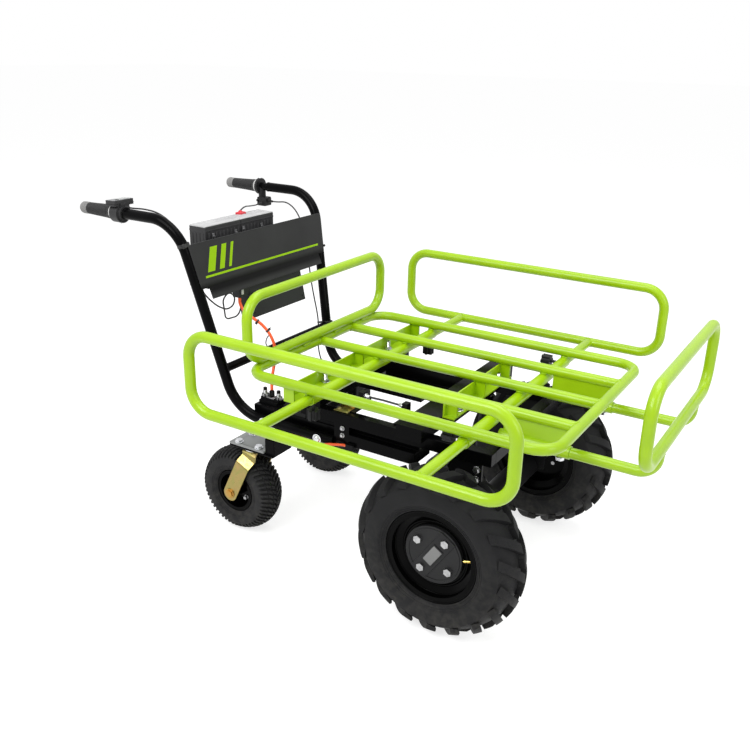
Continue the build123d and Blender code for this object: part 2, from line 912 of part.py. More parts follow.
def axle_housing():
    """The gear case with axle tubes to both sides, hung from the chassis by two plates."""
    housing = gear_room(case_gap + case_wall)
    housing += rod((0, -housing_half, axle_z), (0, housing_half, axle_z), housing_tube)
    plate_y = (beam_inner + beam_outer) / 2
    plate = block(
        (-hanger_half_width, hanger_half_width),
        (-plate_y - hanger_plate / 2, hanger_plate / 2 - plate_y),
        (axle_z, beam_bottom),
    )
    for piece in both_sides(plate):
        housing += piece
    housing -= gear_room(case_gap)
    housing -= rod(
        (0, -housing_half, axle_z), (0, housing_half, axle_z), axle_diameter + 2 * running_gap
    )
    hub_room = case_half + moving_gap
    hub_bore = rod((0, -hub_room, axle_z), (0, hub_room, axle_z), 2 * (ring_hub_radius + moving_gap))
    shaft_bore = rod(
        (motor_x, 0, motor_z), (motor_x, case_half, motor_z), rotor_shaft + 2 * running_gap
    )
    housing -= Pos(0, gear_offset, 0) * (hub_bore + shaft_bore)
    return housing


def drive_motor():
    """The motor's can on the left face of the gear case."""
    start = gear_offset + case_half
    end = start + motor_length

    def along(low, high, diameter):
        return rod((motor_x, low, motor_z), (motor_x, high, motor_z), diameter)

    can = along(start, end, motor_diameter)
    can -= along(start + motor_wall, end - motor_wall, motor_diameter - 2 * motor_wall)
    can -= along(start, start + motor_wall, rotor_shaft + 2 * running_gap)
    return can


def caster_fork():
    """The right caster's fork: a crown with two legs, its race and the kingpin."""
    inner = caster_width / 2 + fork_gap
    outer = inner + fork_plate
    swivel = Pos(caster_swivel_x, -caster_half_track, 0)
    crown = swivel * block((-fork_width / 2, fork_width / 2), (-outer, outer), (crown_bottom, crown_top))
    fork = crown
    for side in (-1, 1):
        low, high = sorted((side * inner, side * outer))
        place = Plane(
            origin=(caster_swivel_x, high - caster_half_track, 0), x_dir=(1, 0, 0), z_dir=(0, -1, 0)
        )
        top = Line((-fork_width / 2, crown_top), (fork_width / 2, crown_top))
        foot = Pos(-caster_trail, caster_axle_z) * Circle(fork_foot)
        leg = make_hull(top.edges() + foot.edges())
        fork += extrude(place * leg, high - low)
    fork += swivel * Pos(0, 0, crown_top) * Cylinder(race_radius, race_height, align=from_base)
    fork += swivel * Pos(0, 0, crown_top) * Cylinder(
        kingpin / 2, flange_top - crown_top - moving_gap, align=from_base
    )
    return fork - caster_axle_rod(caster_axle, outer)


def caster_axle_rod(diameter, half):
    """A bar along the right caster's wheel axis."""
    return rod(
        (caster_axle_x, -caster_half_track - half, caster_axle_z),
        (caster_axle_x, half - caster_half_track, caster_axle_z),
        diameter,
    )


def caster_axle_bolt():
    """The bolt that the right caster's wheel turns on, with a head and a nut."""
    half = caster_width / 2 + fork_gap + fork_plate
    bolt = caster_axle_rod(caster_axle, half)
    for side in (-1, 1):
        place = Plane(
            origin=(caster_axle_x, side * half - caster_half_track, caster_axle_z), z_dir=(0, side, 0)
        )
        bolt += place * extrude(RegularPolygon(bolt_head_width / 2, 6, major_radius=False), bolt_head_height)
    return bolt


def caster_tyre():
    """A caster tyre, turned about Y and centred on the origin."""
    half_bead = caster_width / 2 - caster_tyre_wall - rim_sheet
    return tyre_body(
        caster_od / 2,
        caster_width,
        caster_tread_drop,
        caster_bead_radius,
        caster_rim_radius,
        half_bead,
        caster_tyre_wall,
    )


def caster_rim():
    """A caster rim with its hub, turned about Y and centred on the origin."""
    seat = caster_width / 2 - caster_tyre_wall - rim_sheet
    edge = seat + rim_sheet
    hub_half = caster_width / 2 + fork_gap - moving_gap
    bore = caster_axle / 2 + running_gap
    outline = [
        (bore, -hub_half),
        (caster_hub_radius, -hub_half),
        (caster_hub_radius, -rim_web),
        (caster_bead_radius - rim_sheet, -rim_web),
        (caster_bead_radius - rim_sheet, -edge),
        (caster_rim_radius, -edge),
        (caster_rim_radius, -seat),
        (caster_bead_radius, -seat),
    ]
    return turned_ring(outline + [(r, -y) for r, y in reversed(outline)])


def tube_plane(z, forward=0.0):
    """A point on the plane of the two leaning handle tubes at a height, moved forward along its normal."""
    x = handle_foot_x - (z - handle_foot_z) * tan(handle_lean)
    return Vector(x + forward * cos(handle_lean), 0, z + forward * sin(handle_lean))


def tube_half_spread(z):
    """How far the middle of a leaning handle tube is from the barrow's middle, at a height."""
    share = (z - handle_foot_z) / (handle_top_z - handle_foot_z)
    return handle_foot_y + share * (handle_top_y - handle_foot_y)


def handle_frame():
    """Both handle tubes with their bars for the grips, and the crossbar between them."""
    route = [
        (handle_bar_start, -handle_top_y, handle_top_z),
        (handle_top_x, -handle_top_y, handle_top_z),
        (handle_foot_x, -handle_foot_y, handle_foot_z),
        (handle_foot_end, -handle_foot_y, handle_foot_z),
    ]
    bore = handle_tube - 2 * handle_wall
    outside = bent_bar(route, handle_bend, handle_tube)
    tube = outside - bent_bar(route, handle_bend, bore)
    tube += rod(
        (grip_end, -handle_top_y, handle_top_z),
        (handle_bar_start + grip_bar, -handle_top_y, handle_top_z),
        grip_bar,
    )
    for x in (handle_bolt_rear, handle_bolt_front):
        tube -= handle_bolt_hole(x)
    spread = tube_half_spread(crossbar_z)
    bar_x = tube_plane(crossbar_z).X
    bar = rod((bar_x, -spread, crossbar_z), (bar_x, spread, crossbar_z), crossbar_od)
    for side in both_sides(outside):
        bar -= side
    bar = max(bar.solids(), key=lambda solid: solid.volume)
    left = mirror(tube, left_handed)
    return tube + bar + left


def panel_face_plane():
    """The plane of the panel's front face, with x to the left and y up along the tubes."""
    origin = tube_plane(handle_foot_z, handle_r + panel_sheet)
    return Plane(origin=origin, x_dir=(0, 1, 0), z_dir=(cos(handle_lean), 0, sin(handle_lean)))


def front_panel():
    """The sheet in front of the handle tubes, with its lower edge folded forward."""
    up = cos(handle_lean)
    high = (panel_top_z - handle_foot_z) / up
    fold = (panel_fold_z - handle_foot_z) / up
    wide = tube_half_spread(panel_top_z)
    narrow = tube_half_spread(panel_fold_z)
    face = Polyline((-narrow, fold), (narrow, fold), (wide, high), (-wide, high), close=True)
    plane = panel_face_plane()
    sheet = extrude(plane * make_face(face), -panel_sheet)
    # The lip is the same sheet turned forward about the fold
    turn = radians(panel_lip_angle)
    out = panel_lip * sin(turn)
    low = fold - panel_lip * cos(turn)
    side = Polyline(
        (0, fold),
        (out, low),
        (out - panel_sheet * cos(turn), low - panel_sheet * sin(turn)),
        (-panel_sheet, fold),
        close=True,
    )
    profile_plane = Plane(origin=plane.origin, x_dir=plane.z_dir, z_dir=(0, -1, 0))
    lip = extrude(profile_plane * make_face(side), narrow - panel_lip_inset, both=True)
    return sheet + lip


def behind_panel():
    """The space behind the panel's sheet."""
    plane = panel_face_plane()
    depth = handle_rise
    back = Plane(origin=plane.origin - plane.z_dir * panel_sheet, x_dir=plane.x_dir, z_dir=-plane.z_dir)
    return back * Box(4 * depth, 4 * depth, depth, align=from_base)


def battery_ranges():
    """The space that both batteries take, side by side."""
    left_y = battery_right_y + 2 * battery_length + tray_slack
    return (
        (battery_front_x - battery_depth, battery_front_x),
        (battery_right_y, left_y),
        (tray_floor_z, tray_floor_z + battery_height),
    )


def battery_tray():
    """A low open box under the batteries, its floor running forward to the panel."""
    (x_low, x_high), (y_low, y_high), (z_low, _) = battery_ranges()
    grow = tray_slack + tray_sheet
    floor_range = (z_low - tray_sheet, z_low)
    outside = block(
        (x_low - grow, x_high + grow),
        (y_low - grow, y_high + grow),
        (floor_range[0], z_low + tray_wall_height),
    )
    inside = block(
        (x_low - tray_slack, x_high + tray_slack),
        (y_low - tray_slack, y_high + tray_slack),
        (z_low, z_low + tray_wall_height),
    )
    tongue = block((x_high, handle_foot_x), (tray_tongue_right, y_high), floor_range) & behind_panel()
    return outside - inside + tongue


def batteries():
    """Two batteries side by side in the tray."""
    x_range, (y_low, y_high), z_range = battery_ranges()
    return [
        block(x_range, (y_low, y_low + battery_length), z_range),
        block(x_range, (y_high - battery_length, y_high), z_range),
    ]


def controller_box():
    """The controller below the panel, leaning with the tubes, on two tabs under the tray."""
    plane = panel_face_plane()
    top = (controller_top_z - handle_foot_z) / cos(handle_lean)
    middle_y = controller_right_y + controller_width / 2
    place = plane * Pos(middle_y, top - controller_height / 2, -handle_r - panel_sheet - controller_back)
    box = place * Box(controller_width, controller_height, controller_depth)
    middle = tube_plane(controller_top_z, -controller_back)
    tab_bottom = controller_top_z - controller_height / 2
    for side in (-1, 1):
        y = middle_y + side * (controller_width / 2 - controller_tab_inset)
        box += block(
            (middle.X - controller_tab / 2, middle.X + controller_tab / 2),
            (y - controller_tab / 2, y + controller_tab / 2),
            (tab_bottom, tray_floor_z - tray_sheet),
        )
    return box + block(*connector_ranges())


def connector_ranges():
    """The block on the controller's right end that takes the leads from below."""
    middle = tube_plane(connector_top_z - connector_height / 2).X
    return (
        (middle - connector_length / 2, middle + connector_length / 2),
        (controller_right_y - connector_width, controller_right_y + connector_sink),
        (connector_top_z - connector_height, connector_top_z),
    )


def hand_grip(bar_gap):
    """The right grip: a rubber sleeve with a closed end over the bar."""
    outer = rod((grip_end - grip_cap, 0, 0), (grip_start, 0, 0), grip_od)
    rim = outer.edges().filter_by(GeomType.CIRCLE).sort_by(Axis.X)[0]
    outer = fillet(rim, grip_cap / 2)
    outer -= rod((grip_end - moving_gap, 0, 0), (grip_start, 0, 0), grip_bar + 2 * bar_gap)
    return Pos(0, -handle_top_y, handle_top_z) * outer


def display_place():
    """The plane of the middle of the display's top face, tipped towards the user."""
    origin = (
        collar_end - display_length / 2,
        display_shift - handle_top_y,
        handle_top_z + display_rise + display_height / 2,
    )
    tip = radians(display_tilt)
    return Plane(origin=origin, x_dir=(cos(tip), 0, sin(tip)), z_dir=(-sin(tip), 0, cos(tip)))


def button_spot():
    """The plane of the button's seat in the display's top face."""
    return display_place() * Pos(display_length / 4, -display_width / 4, 0)


def throttle_housing():
    """The collar beside the twist grip with the display on top of it, clamped to the bar."""
    y, z = -handle_top_y, handle_top_z
    collar = rod((ring_end, y, z), (collar_end, y, z), collar_od)
    clamp = rod((collar_end, y, z), (clamp_end, y, z), clamp_od)
    neck = block(
        (collar_end - collar_length / 2, clamp_end - tray_sheet),
        (y - clamp_od / 4, y + clamp_od / 2),
        (z, z + display_rise),
    )
    box = Box(display_length, display_width, display_height, align=from_top)
    box = fillet(box.edges().filter_by(Axis.Z), display_height / 5)
    housing = collar + clamp + neck + display_place() * box
    housing -= rod((ring_end, y, z), (clamp_end, y, z), grip_bar)
    room = Cylinder(button_diameter / 2 + moving_gap, button_depth + moving_gap, align=from_top)
    return housing - button_spot() * room


def power_button():
    """The round button in the display's top face."""
    cap = Cylinder(button_diameter / 2, button_height, align=from_top)
    return button_spot() * Pos(0, 0, button_height / 2) * cap


def selector_place():
    """The middle of the selector switch's body, under the left handle."""
    return Pos(ring_end + selector_collar_length + selector_shift, handle_top_y, handle_top_z - selector_drop)


def selector_housing():
    """The collar on the left bar with the selector switch hanging from it."""
    y, z = handle_top_y, handle_top_z
    end = ring_end + selector_collar_length
    collar = rod((ring_end, y, z), (end, y, z), collar_od)
    body = Box(selector_length, selector_width, selector_height)
    body = fillet(body.edges().filter_by(Axis.Y), selector_height / 6)
    body = selector_place() * body
    stem_x = ring_end + grip_bar / 2
    stem = rod((stem_x, y, z), (stem_x, y, z - selector_drop), grip_bar)
    housing = collar + stem + body
    housing -= rod((ring_end, y, z), (handle_bar_start, y, z), grip_bar)
    slot = Box(toggle_slot, toggle_width + 2 * moving_gap, toggle_slot)
    housing -= selector_place() * Pos(-selector_length / 2, 0, 0) * slot
    pin = toggle_pivot(toggle_pin + 2 * running_gap, selector_width)
    return housing - pin


def toggle_pivot(diameter, length):
    """A bar along the toggle's axis."""
    middle = Vector(*selector_place().position) - Vector(selector_length / 2 - toggle_slot / 4, 0, 0)
    start = middle - Vector(0, length / 2, 0)
    return rod(tuple(start), tuple(start + Vector(0, length, 0)), diameter)


def selector_toggle():
    """The toggle in the selector's rear face, on its pin."""
    middle = Vector(*selector_place().position) - Vector(selector_length / 2 - toggle_slot / 4, 0, 0)
    paddle = block(
        (middle.X - toggle_length, middle.X),
        (middle.Y - toggle_width / 2, middle.Y + toggle_width / 2),
        (middle.Z - toggle_pin / 2, middle.Z + toggle_pin / 2),
    )
    return toggle_pivot(toggle_pin, toggle_width + toggle_pin) + paddle


def cable(name, points, diameter):
    """A lead along straight runs joined by arcs as large as the runs allow."""
    stops = [Vector(*point) for point in points]
    radii = []
    for before, corner, after in zip(stops, stops[1:], stops[2:]):
        run_in = corner - before
        run_out = after - corner
        turn = radians(run_in.get_angle(run_out))
        radii.append(arc_share * min(run_in.length, run_out.length) / tan(turn / 2))
    path = FilletPolyline(*stops, radius=radii)
    lead = sweep(Plane(origin=path @ 0, z_dir=path % 0) * Circle(diameter / 2), path=path)
    plain = path.length * pi * diameter**2 / 4
    print(name, "length", round(path.length), "volume ratio", round(lead.volume / plain, 4))
    print(name, "radii", [round(radius) for radius in radii])
    return lead


def throttle_lead():
    """From the display along the right tube, behind the panel and in a loop to the controller."""
    over_tube = handle_top_z + handle_r + lead_diameter / 2 + moving_gap
    x_range, y_range, z_range = connector_ranges()
    end_x = x_range[0] + connector_length / 4
    end_y = y_range[0] + connector_width * 3 / 5
    bottom = z_range[0]
    return cable(
        "throttle_lead",
        [
            (clamp_end, -279, over_tube),
            (-905, -279, over_tube),
            (-868, -276, beam_top + 435),
            (-830, -269, beam_top + 430),
            (-798, -263, beam_top + 413),
            (-772, -259, beam_top + 383),
            (-757, -254, beam_top + 343),
            (-745, -249, beam_top + 299),
            (-733, -243, beam_top + 259),
            (-718, -233, beam_top + 227),
            (-704, -210, beam_top + 199),
            (-699, -180, beam_top + 183),
            (-696, -156, beam_top + 190),
            (-697, -149, beam_top + 213),
            (-703, -166, beam_top + 226),
            (-709, -183, beam_top + 209),
            (-711, -176, beam_top + 177),
            (end_x, -164, beam_top + 149),
            (end_x, end_y, beam_top + 146),
            (end_x, end_y, bottom),
        ],
        lead_diameter,
    )


def gland_axis():
    """The way that the motor lead runs into its gland on the clamp."""
    return Vector(gland_back, -gland_in, -gland_up).normalized()


def gland_foot():
    """The point on top of the clamp where the gland's axis ends."""
    return Vector(clamp_x, clamp_y, rail_top + clamp_block_height + clamp_bar_height)


def motor_lead():
    """From the controller down to the gland on the chassis."""
    x_range, y_range, z_range = connector_ranges()
    start_x = x_range[1] - connector_length / 4
    start_y = y_range[0] + connector_width / 6
    bottom = z_range[0]
    gland_top = gland_foot() - gland_axis() * gland_length
    before = gland_top - gland_axis() * gland_run
    return cable(
        "motor_lead",
        [
            (start_x, start_y, bottom),
            (start_x, start_y, beam_top + 184),
            (-692, -123, beam_top + 166),
            (-668, -116, beam_top + 150),
            (-648, -108, beam_top + 137),
            (-628, -99, beam_top + 113),
            (-612, -97, beam_top + 82),
            (-606, -104, beam_top + 48),
            tuple(before),
            tuple(gland_top),
        ],
        motor_lead_diameter,
    )


def axle_lead():
    """A short lead from a clip under the right rail, under the foot tube and forward to the next clip."""
    face_y = rear_clip_y - clip_width / 2
    clip_z = rail_bottom - clip_height / 2
    end_y = -beam_outer - clip_width / 4
    end_z = rail_bottom + front_clip_lift
    return cable(
        "axle_lead",
        [
            (rear_clip_x, face_y, clip_z),
            (rear_clip_x, -203, clip_z),
            (-448, -218, beam_top - 95),
            (-412, -223, beam_top - 97),
            (-384, -230, beam_top - 98),
            (-346, -235, beam_top - 80),
            (-318, -227, beam_top - 77),
            (-308, end_y, end_z),
            (front_clip_x - clip_length / 2, end_y, end_z),
        ],
        axle_lead_diameter,
    )


def selector_lead():
    """From the selector behind the panel and down the left tube to the chassis."""
    return cable(
        "selector_lead",
        [
            (selector_place().position.X + selector_length / 2, 280, beam_top + 375),
            (-895, 280, beam_top + 375),
            (-855, 274, beam_top + 381),
            (-818, 266, beam_top + 367),
            (-790, 258, beam_top + 339),
            (-773, 250, beam_top + 303),
            (-757, 240, beam_top + 267),
            (-738, 225, beam_top + 235),
            (-722, 210, beam_top + 201),
            (-710, 203, beam_top + 163),
            (-702, 204, beam_top + 123),
            (-699, 212, beam_top + 85),
            (-700, 221, beam_top + 49),
            (-700, 219, beam_top + 13),
            (-690, 206, beam_top - 30),
            (-668, 188, beam_top - 57),
            (-636, 172, beam_top - 68),
            (rail_rear, 172, beam_top - 68),
        ],
        lead_diameter,
    )


def battery_lead():
    """From the selector across to the top of the left battery."""
    top = tray_floor_z + battery_height
    middle = selector_place().position
    return cable(
        "battery_lead",
        [
            (middle.X, middle.Y - selector_width / 2, beam_top + 367),
            (middle.X, 244, beam_top + 367),
            (-922, 216, beam_top + 372),
            (-890, 162, beam_top + 381),
            (-856, 106, beam_top + 391),
            (-828, 58, beam_top + 400),
            (-813, 30, beam_top + 402),
            (-810, 14, top + 12),
            (-810, 14, top),
        ],
        lead_diameter,
    )


def brake_cable():
    """From the rear cable stop to the front one, along the right beam."""
    height = beam_top + stop_height * 3 / 4
    return cable(
        "brake_cable",
        [
            (stop_rear_x + stop_length / 2, stop_y, height),
            (-266, stop_y, height),
            (-239, stop_y - 4, height + 3),
            (-212, stop_y, height),
            (stop_front_x - stop_length / 2, stop_y, height),
        ],
        brake_cable_diameter,
    )


def cable_clamps():
    """The motor lead's clamp with its gland, two cable stops and two clips, all on the chassis."""
    bar_bottom = rail_top + clamp_block_height
    foot = Pos(clamp_x, clamp_y, rail_top) * Box(
        clamp_block_length, clamp_block_width, clamp_block_height, align=from_base
    )
    bar = Pos(clamp_x, clamp_y, bar_bottom) * Box(
        clamp_block_length, clamp_bar_width, clamp_bar_height, align=from_base
    )
    gland_top = gland_foot() - gland_axis() * gland_length
    clamp = foot + bar + rod(tuple(gland_top), tuple(gland_foot()), gland_diameter)
    for side in (-1, 1):
        x = clamp_x + side * (clamp_block_length / 2 - clamp_bolt_inset)
        clamp += hex_bolt(Plane(origin=(x, clamp_y, bar_bottom + clamp_bar_height)), 0, stud_height)
    stops = []
    for x in (stop_rear_x, stop_front_x):
        x_range = (x - stop_length / 2, x + stop_length / 2)
        inner_y = stop_y + stop_width / 2
        post = block(x_range, (stop_y - stop_width / 2, inner_y), (beam_top, beam_top + stop_height))
        tab = block(x_range, (-beam_inner - web_plate, inner_y), (beam_top, beam_top + beam_wall))
        stops.append(post + tab)
    rear_clip = block(
        (rear_clip_x - clip_length / 2, rear_clip_x + clip_length / 2),
        (rear_clip_y - clip_width / 2, rear_clip_y + clip_width / 2),
        (rail_bottom - clip_height, rail_bottom),
    )
    end_z = rail_bottom + front_clip_lift
    front_clip = block(
        (front_clip_x - clip_length / 2, front_clip_x + clip_length / 2),
        (-beam_outer - clip_width / 2, -beam_outer),
        (end_z - clip_height / 2, end_z + clip_height / 2),
    )
    return [clamp] + stops + [rear_clip, front_clip]


os.makedirs("parts", exist_ok=True)

rear_bolts = bracket_bolt_places(rear_bolt_x, rear_bolt_spread, rear_cross_top)
front_bolts = bracket_bolt_places(front_bolt_x, front_bolt_spread, front_cross_top)

# Bed
save("bed_loop", bed_loop_bar(tube_od) - bed_loop_bar(tube_od - 2 * tube_wall))
save("bed_slats", *bed_slats())
save("side_sockets", *side_sockets())
save("front_hoop_sockets", *front_hoop_sockets())
rear_gussets = (-bed_half, 0, bed_half)
rear_half = bed_half + bracket_plate / 2
save("rear_bed_bracket", bed_bracket(rear_bracket_x, rear_half, rear_gussets, rear_cross_top, rear_bolts))
front_gussets = (-slat_spacing, 0, slat_spacing)
front_half = slat_spacing + front_bracket_overhang
front_bracket = bed_bracket(front_bracket_x, front_half, front_gussets, front_cross_top, front_bolts)
save("front_bed_bracket", front_bracket)
save("rear_hoop", rear_hoop())

# Sliding hoops
save("right_side_hoop", side_hoop(-1))
save("left_side_hoop", side_hoop(1))
save("front_hoop", front_hoop())

# Clamp knobs
save("right_rear_knob", clamp_knob(-1, False))
save("left_rear_knob", clamp_knob(1, False))
save("right_front_knob", clamp_knob(-1, True))
save("left_front_knob", clamp_knob(1, True))

# Fasteners
bolts = [hex_bolt(place, bracket_plate + beam_wall, stud_height) for place in rear_bolts + front_bolts]
for place in caster_bolt_places():
    bolts += both_sides(hex_bolt(place, caster_plate_thickness + flange_plate))
bolts += [hex_bolt(set_bolt_place(side), socket_wall + arm_slack - moving_gap) for side in (-1, 1)]
save("frame_bolts", *bolts)
handle_bolts = []
for x in (handle_bolt_rear, handle_bolt_front):
    handle_bolts += both_sides(handle_bolt(x))
save("handle_bolts", *handle_bolts)

# Chassis
right_beam = chassis_beam()
save("right_chassis_beam", right_beam)
save("left_chassis_beam", mirror(right_beam, left_handed))
save("cross_beams", *cross_beams(rear_bolts, front_bolts))
save("caster_cross_beam", caster_cross_beam())
save("caster_plates", *both_sides(caster_plate()))

# Axle, motor and gears
save("axle_housing", axle_housing())
save("drive_motor", drive_motor())
save("motor_rotor", motor_rotor())
save("ring_gear", ring_gear())

# Front wheels: modelled for the left side about the origin
tyre = drive_tyre()
rim = drive_rim()
hub = drive_hub()
shaft = axle_shaft()
wheel_bolts = [hex_bolt(place, hub_thickness + rim_web) for place in wheel_bolt_places()]
left_wheel = Pos(0, half_track, axle_z)
right_wheel = Pos(0, -half_track, axle_z)
save("left_tyre", left_wheel * tyre)
save("right_tyre", right_wheel * tyre)
for side, place in (("left", left_wheel), ("right", right_wheel)):
    turned = [shape if side == "left" else mirror(shape, left_handed) for shape in (rim, hub, shaft)]
    for name, shape in zip(("rim", "hub", "axle_shaft"), turned):
        save(f"{side}_{name}", place * shape)
    side_bolts = [bolt if side == "left" else mirror(bolt, left_handed) for bolt in wheel_bolts]
    save(f"{side}_wheel_bolts", *[place * bolt for bolt in side_bolts])

# Casters
fork = caster_fork()
caster_bolt = caster_axle_bolt()
small_tyre = caster_tyre()
small_rim = caster_rim()
for name, shape in (("caster_fork", fork), ("caster_axle", caster_bolt)):
    save(f"right_{name}", shape)
    save(f"left_{name}", mirror(shape, left_handed))
for side, y in (("right", -caster_half_track), ("left", caster_half_track)):
    place = Pos(caster_axle_x, y, caster_axle_z)
    save(f"{side}_caster_tyre", place * small_tyre)
    save(f"{side}_caster_rim", place * small_rim)

# Handle
save("handle_frame", handle_frame())
save("front_panel", front_panel())
save("battery_tray", battery_tray())
save("batteries", *batteries())
save("controller_box", controller_box())
save("twist_grip", hand_grip(running_gap))
save("left_grip", mirror(hand_grip(0), left_handed))
save("throttle_housing", throttle_housing())
save("power_button", power_button())
save("selector_housing", selector_housing())
save("selector_toggle", selector_toggle())

# Leads
save("throttle_lead", throttle_lead())
save("motor_leads", motor_lead(), axle_lead())
save("selector_leads", selector_lead(), battery_lead())
save("brake_cable", brake_cable())
save("cable_clamps", *cable_clamps())
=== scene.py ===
from functools import partial
from math import atan2, cos, pi, radians, sin, sqrt

import bmesh
import bpy
from mathutils import Matrix, Vector


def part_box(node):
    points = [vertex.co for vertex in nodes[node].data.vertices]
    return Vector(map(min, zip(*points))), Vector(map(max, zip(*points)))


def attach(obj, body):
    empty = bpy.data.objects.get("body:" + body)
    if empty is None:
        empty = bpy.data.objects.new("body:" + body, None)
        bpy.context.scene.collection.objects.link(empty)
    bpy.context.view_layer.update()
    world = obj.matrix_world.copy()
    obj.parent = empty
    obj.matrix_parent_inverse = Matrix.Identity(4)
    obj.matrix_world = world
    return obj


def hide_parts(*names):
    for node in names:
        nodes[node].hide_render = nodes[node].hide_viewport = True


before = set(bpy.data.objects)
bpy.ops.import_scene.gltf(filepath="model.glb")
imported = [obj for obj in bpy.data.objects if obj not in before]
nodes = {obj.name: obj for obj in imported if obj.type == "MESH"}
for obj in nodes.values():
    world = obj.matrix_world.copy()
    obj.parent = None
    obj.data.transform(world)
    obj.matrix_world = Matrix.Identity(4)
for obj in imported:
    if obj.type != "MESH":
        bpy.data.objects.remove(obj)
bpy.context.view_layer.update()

# Lengths are millimetres: X from the front axle, Y from the middle, Z from the floor.
front_axle = (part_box("right_tyre")[0].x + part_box("right_tyre")[1].x) / 2
sides = {"right": -1, "left": 1}
forward = (1, 0, 0)
leftward = (0, 1, 0)
upward = (0, 0, 1)

# Green tubes
bed_tube = 12.5
slat_tube = 12.0
bed_z = 508.0
bed_front_x = 237.5
bed_rear_x = -537.5
bed_half = 297.0
slat_rows = (-147.0, 0.0, 147.0)
socket_tube = 14.5
socket_z = 481.0
socket_places = (-354.0, 43.5)
side_hoop_y = 489.0
front_hoop_x = 404.5
front_hoop_z = 501.0

# Handle
handle_tube = 13.5
handle_top = Vector((-758.0, 281.0, 842.0))
handle_foot = Vector((-649.0, 213.0, 347.0))
handle_lean = atan2(handle_foot.x - handle_top.x, handle_top.z - handle_foot.z)
crossbar_z = 465.0
bar_radius = 11.0

# Wheels
drive_centre_y = 294.0
drive_axle_z = 205.0
hub_face = 28.0
hub_bar_turn = radians(56.6)
caster_x = -655.0
caster_y = 196.5
caster_z = 119.0
swivel_x = -603.0


def at(x, y, z):
    """A point in millimetres from the front axle, in metres in the barrow's own frame."""
    return Vector((x / 1000 + front_axle, y / 1000, z / 1000))


def room(node):
    """The ranges along X, Y and Z that a solid takes, in millimetres from the front axle."""
    low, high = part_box(node)
    shift = (front_axle, 0.0, 0.0)
    return [((a - s) * 1000, (b - s) * 1000) for a, b, s in zip(low, high, shift)]


def handle_tube_at(z, side):
    """The middle of a leaning handle tube at a height, on the right (-1) or the left (1)."""
    share = (z - handle_foot.z) / (handle_top.z - handle_foot.z)
    spot = handle_foot.lerp(handle_top, share)
    return Vector((spot.x, side * spot.y, spot.z))


def handle_tube_run(side):
    """The direction of a leaning handle tube, upwards."""
    run = handle_top - handle_foot
    return Vector((run.x, side * run.y, run.z)).normalized()


def on_bar(x, side):
    """A spot on the axis of the right (-1) or left (1) handle's bar."""
    return Vector((x, side * handle_top.y, handle_top.z))


# Finishes


def linear(red, green, blue):
    """A colour given as it shows on a screen, 0 to 255, as the shader takes it."""
    parts = []
    for value in (red, green, blue):
        share = value / 255
        parts.append(share / 12.92 if share <= 0.04045 else ((share + 0.055) / 1.055) ** 2.4)
    return (*parts, 1.0)


class Wiring:
    """Adds nodes to a tree; a setting that is another node's output is joined to it."""

    def __init__(self, tree, place=None):
        self.tree = tree
        self.place = place

    def add(self, kind, options=None, **settings):
        node = self.tree.nodes.new(kind)
        for name, value in (options or {}).items():
            setattr(node, name, value)
        for name, value in settings.items():
            self.set(node, name.replace("_", " "), value)
        return node

    def set(self, node, socket, value):
        if isinstance(value, bpy.types.NodeSocket):
            self.tree.links.new(value, node.inputs[socket])
        else:
            node.inputs[socket].default_value = value

    def noise(self, scale, detail=2.0, warp=0.0):
        settings = {"Vector": self.place, "Scale": scale, "Detail": detail, "Distortion": warp}
        return self.add("ShaderNodeTexNoise", None, **settings).outputs[0]

    def sums(self, operation, first, second, third=None):
        node = self.add("ShaderNodeMath", {"operation": operation})
        for i, value in enumerate((first, second, third)):
            if value is not None:
                self.set(node, i, value)
        return node.outputs[0]

    def span(self, value, low, high, out_low=0.0, out_high=1.0):
        node = self.add("ShaderNodeMapRange", Value=value)
        for i, number in enumerate((low, high, out_low, out_high)):
            self.set(node, i + 1, number)
        return node.outputs[0]

    def tints(self, share, first, second):
        node = self.add("ShaderNodeMix", {"data_type": "RGBA"})
        for socket, value in ((0, share), (6, first), (7, second)):
            self.set(node, socket, value)
        return node.outputs[2]


def effect(name, numbers, outputs):
    """A shared surface effect: what adds to its tree, what comes in and the node that its results go to."""
    tree = bpy.data.node_groups.new(name, "ShaderNodeTree")
    tree.interface.new_socket(name="Place", in_out="INPUT", socket_type="NodeSocketVector")
    for label, value in numbers.items():
        socket = tree.interface.new_socket(name=label, in_out="INPUT", socket_type="NodeSocketFloat")
        socket.default_value = value
    for label in outputs:
        tree.interface.new_socket(name=label, in_out="OUTPUT", socket_type="NodeSocketFloat")
    given = tree.nodes.new("NodeGroupInput").outputs
    return Wiring(tree, given["Place"]), given, tree.nodes.new("NodeGroupOutput")


def sprayed_coat():
    """Orange peel of a sprayed and baked coat, with slow clouds in its shade."""
    wires, given, result = effect("sprayed_coat", {"Peel": 420.0}, ["Height", "Cloud"])
    peel = wires.noise(given["Peel"], 2.0)
    fine = wires.noise(wires.sums("MULTIPLY", given["Peel"], 3.1), 1.0)
    wires.set(result, "Height", wires.sums("MULTIPLY_ADD", fine, 0.25, peel))
    cloud = wires.noise(9.0, 4.0, 0.4)
    wires.set(result, "Cloud", wires.span(cloud, 0.32, 0.68))
    return wires.tree


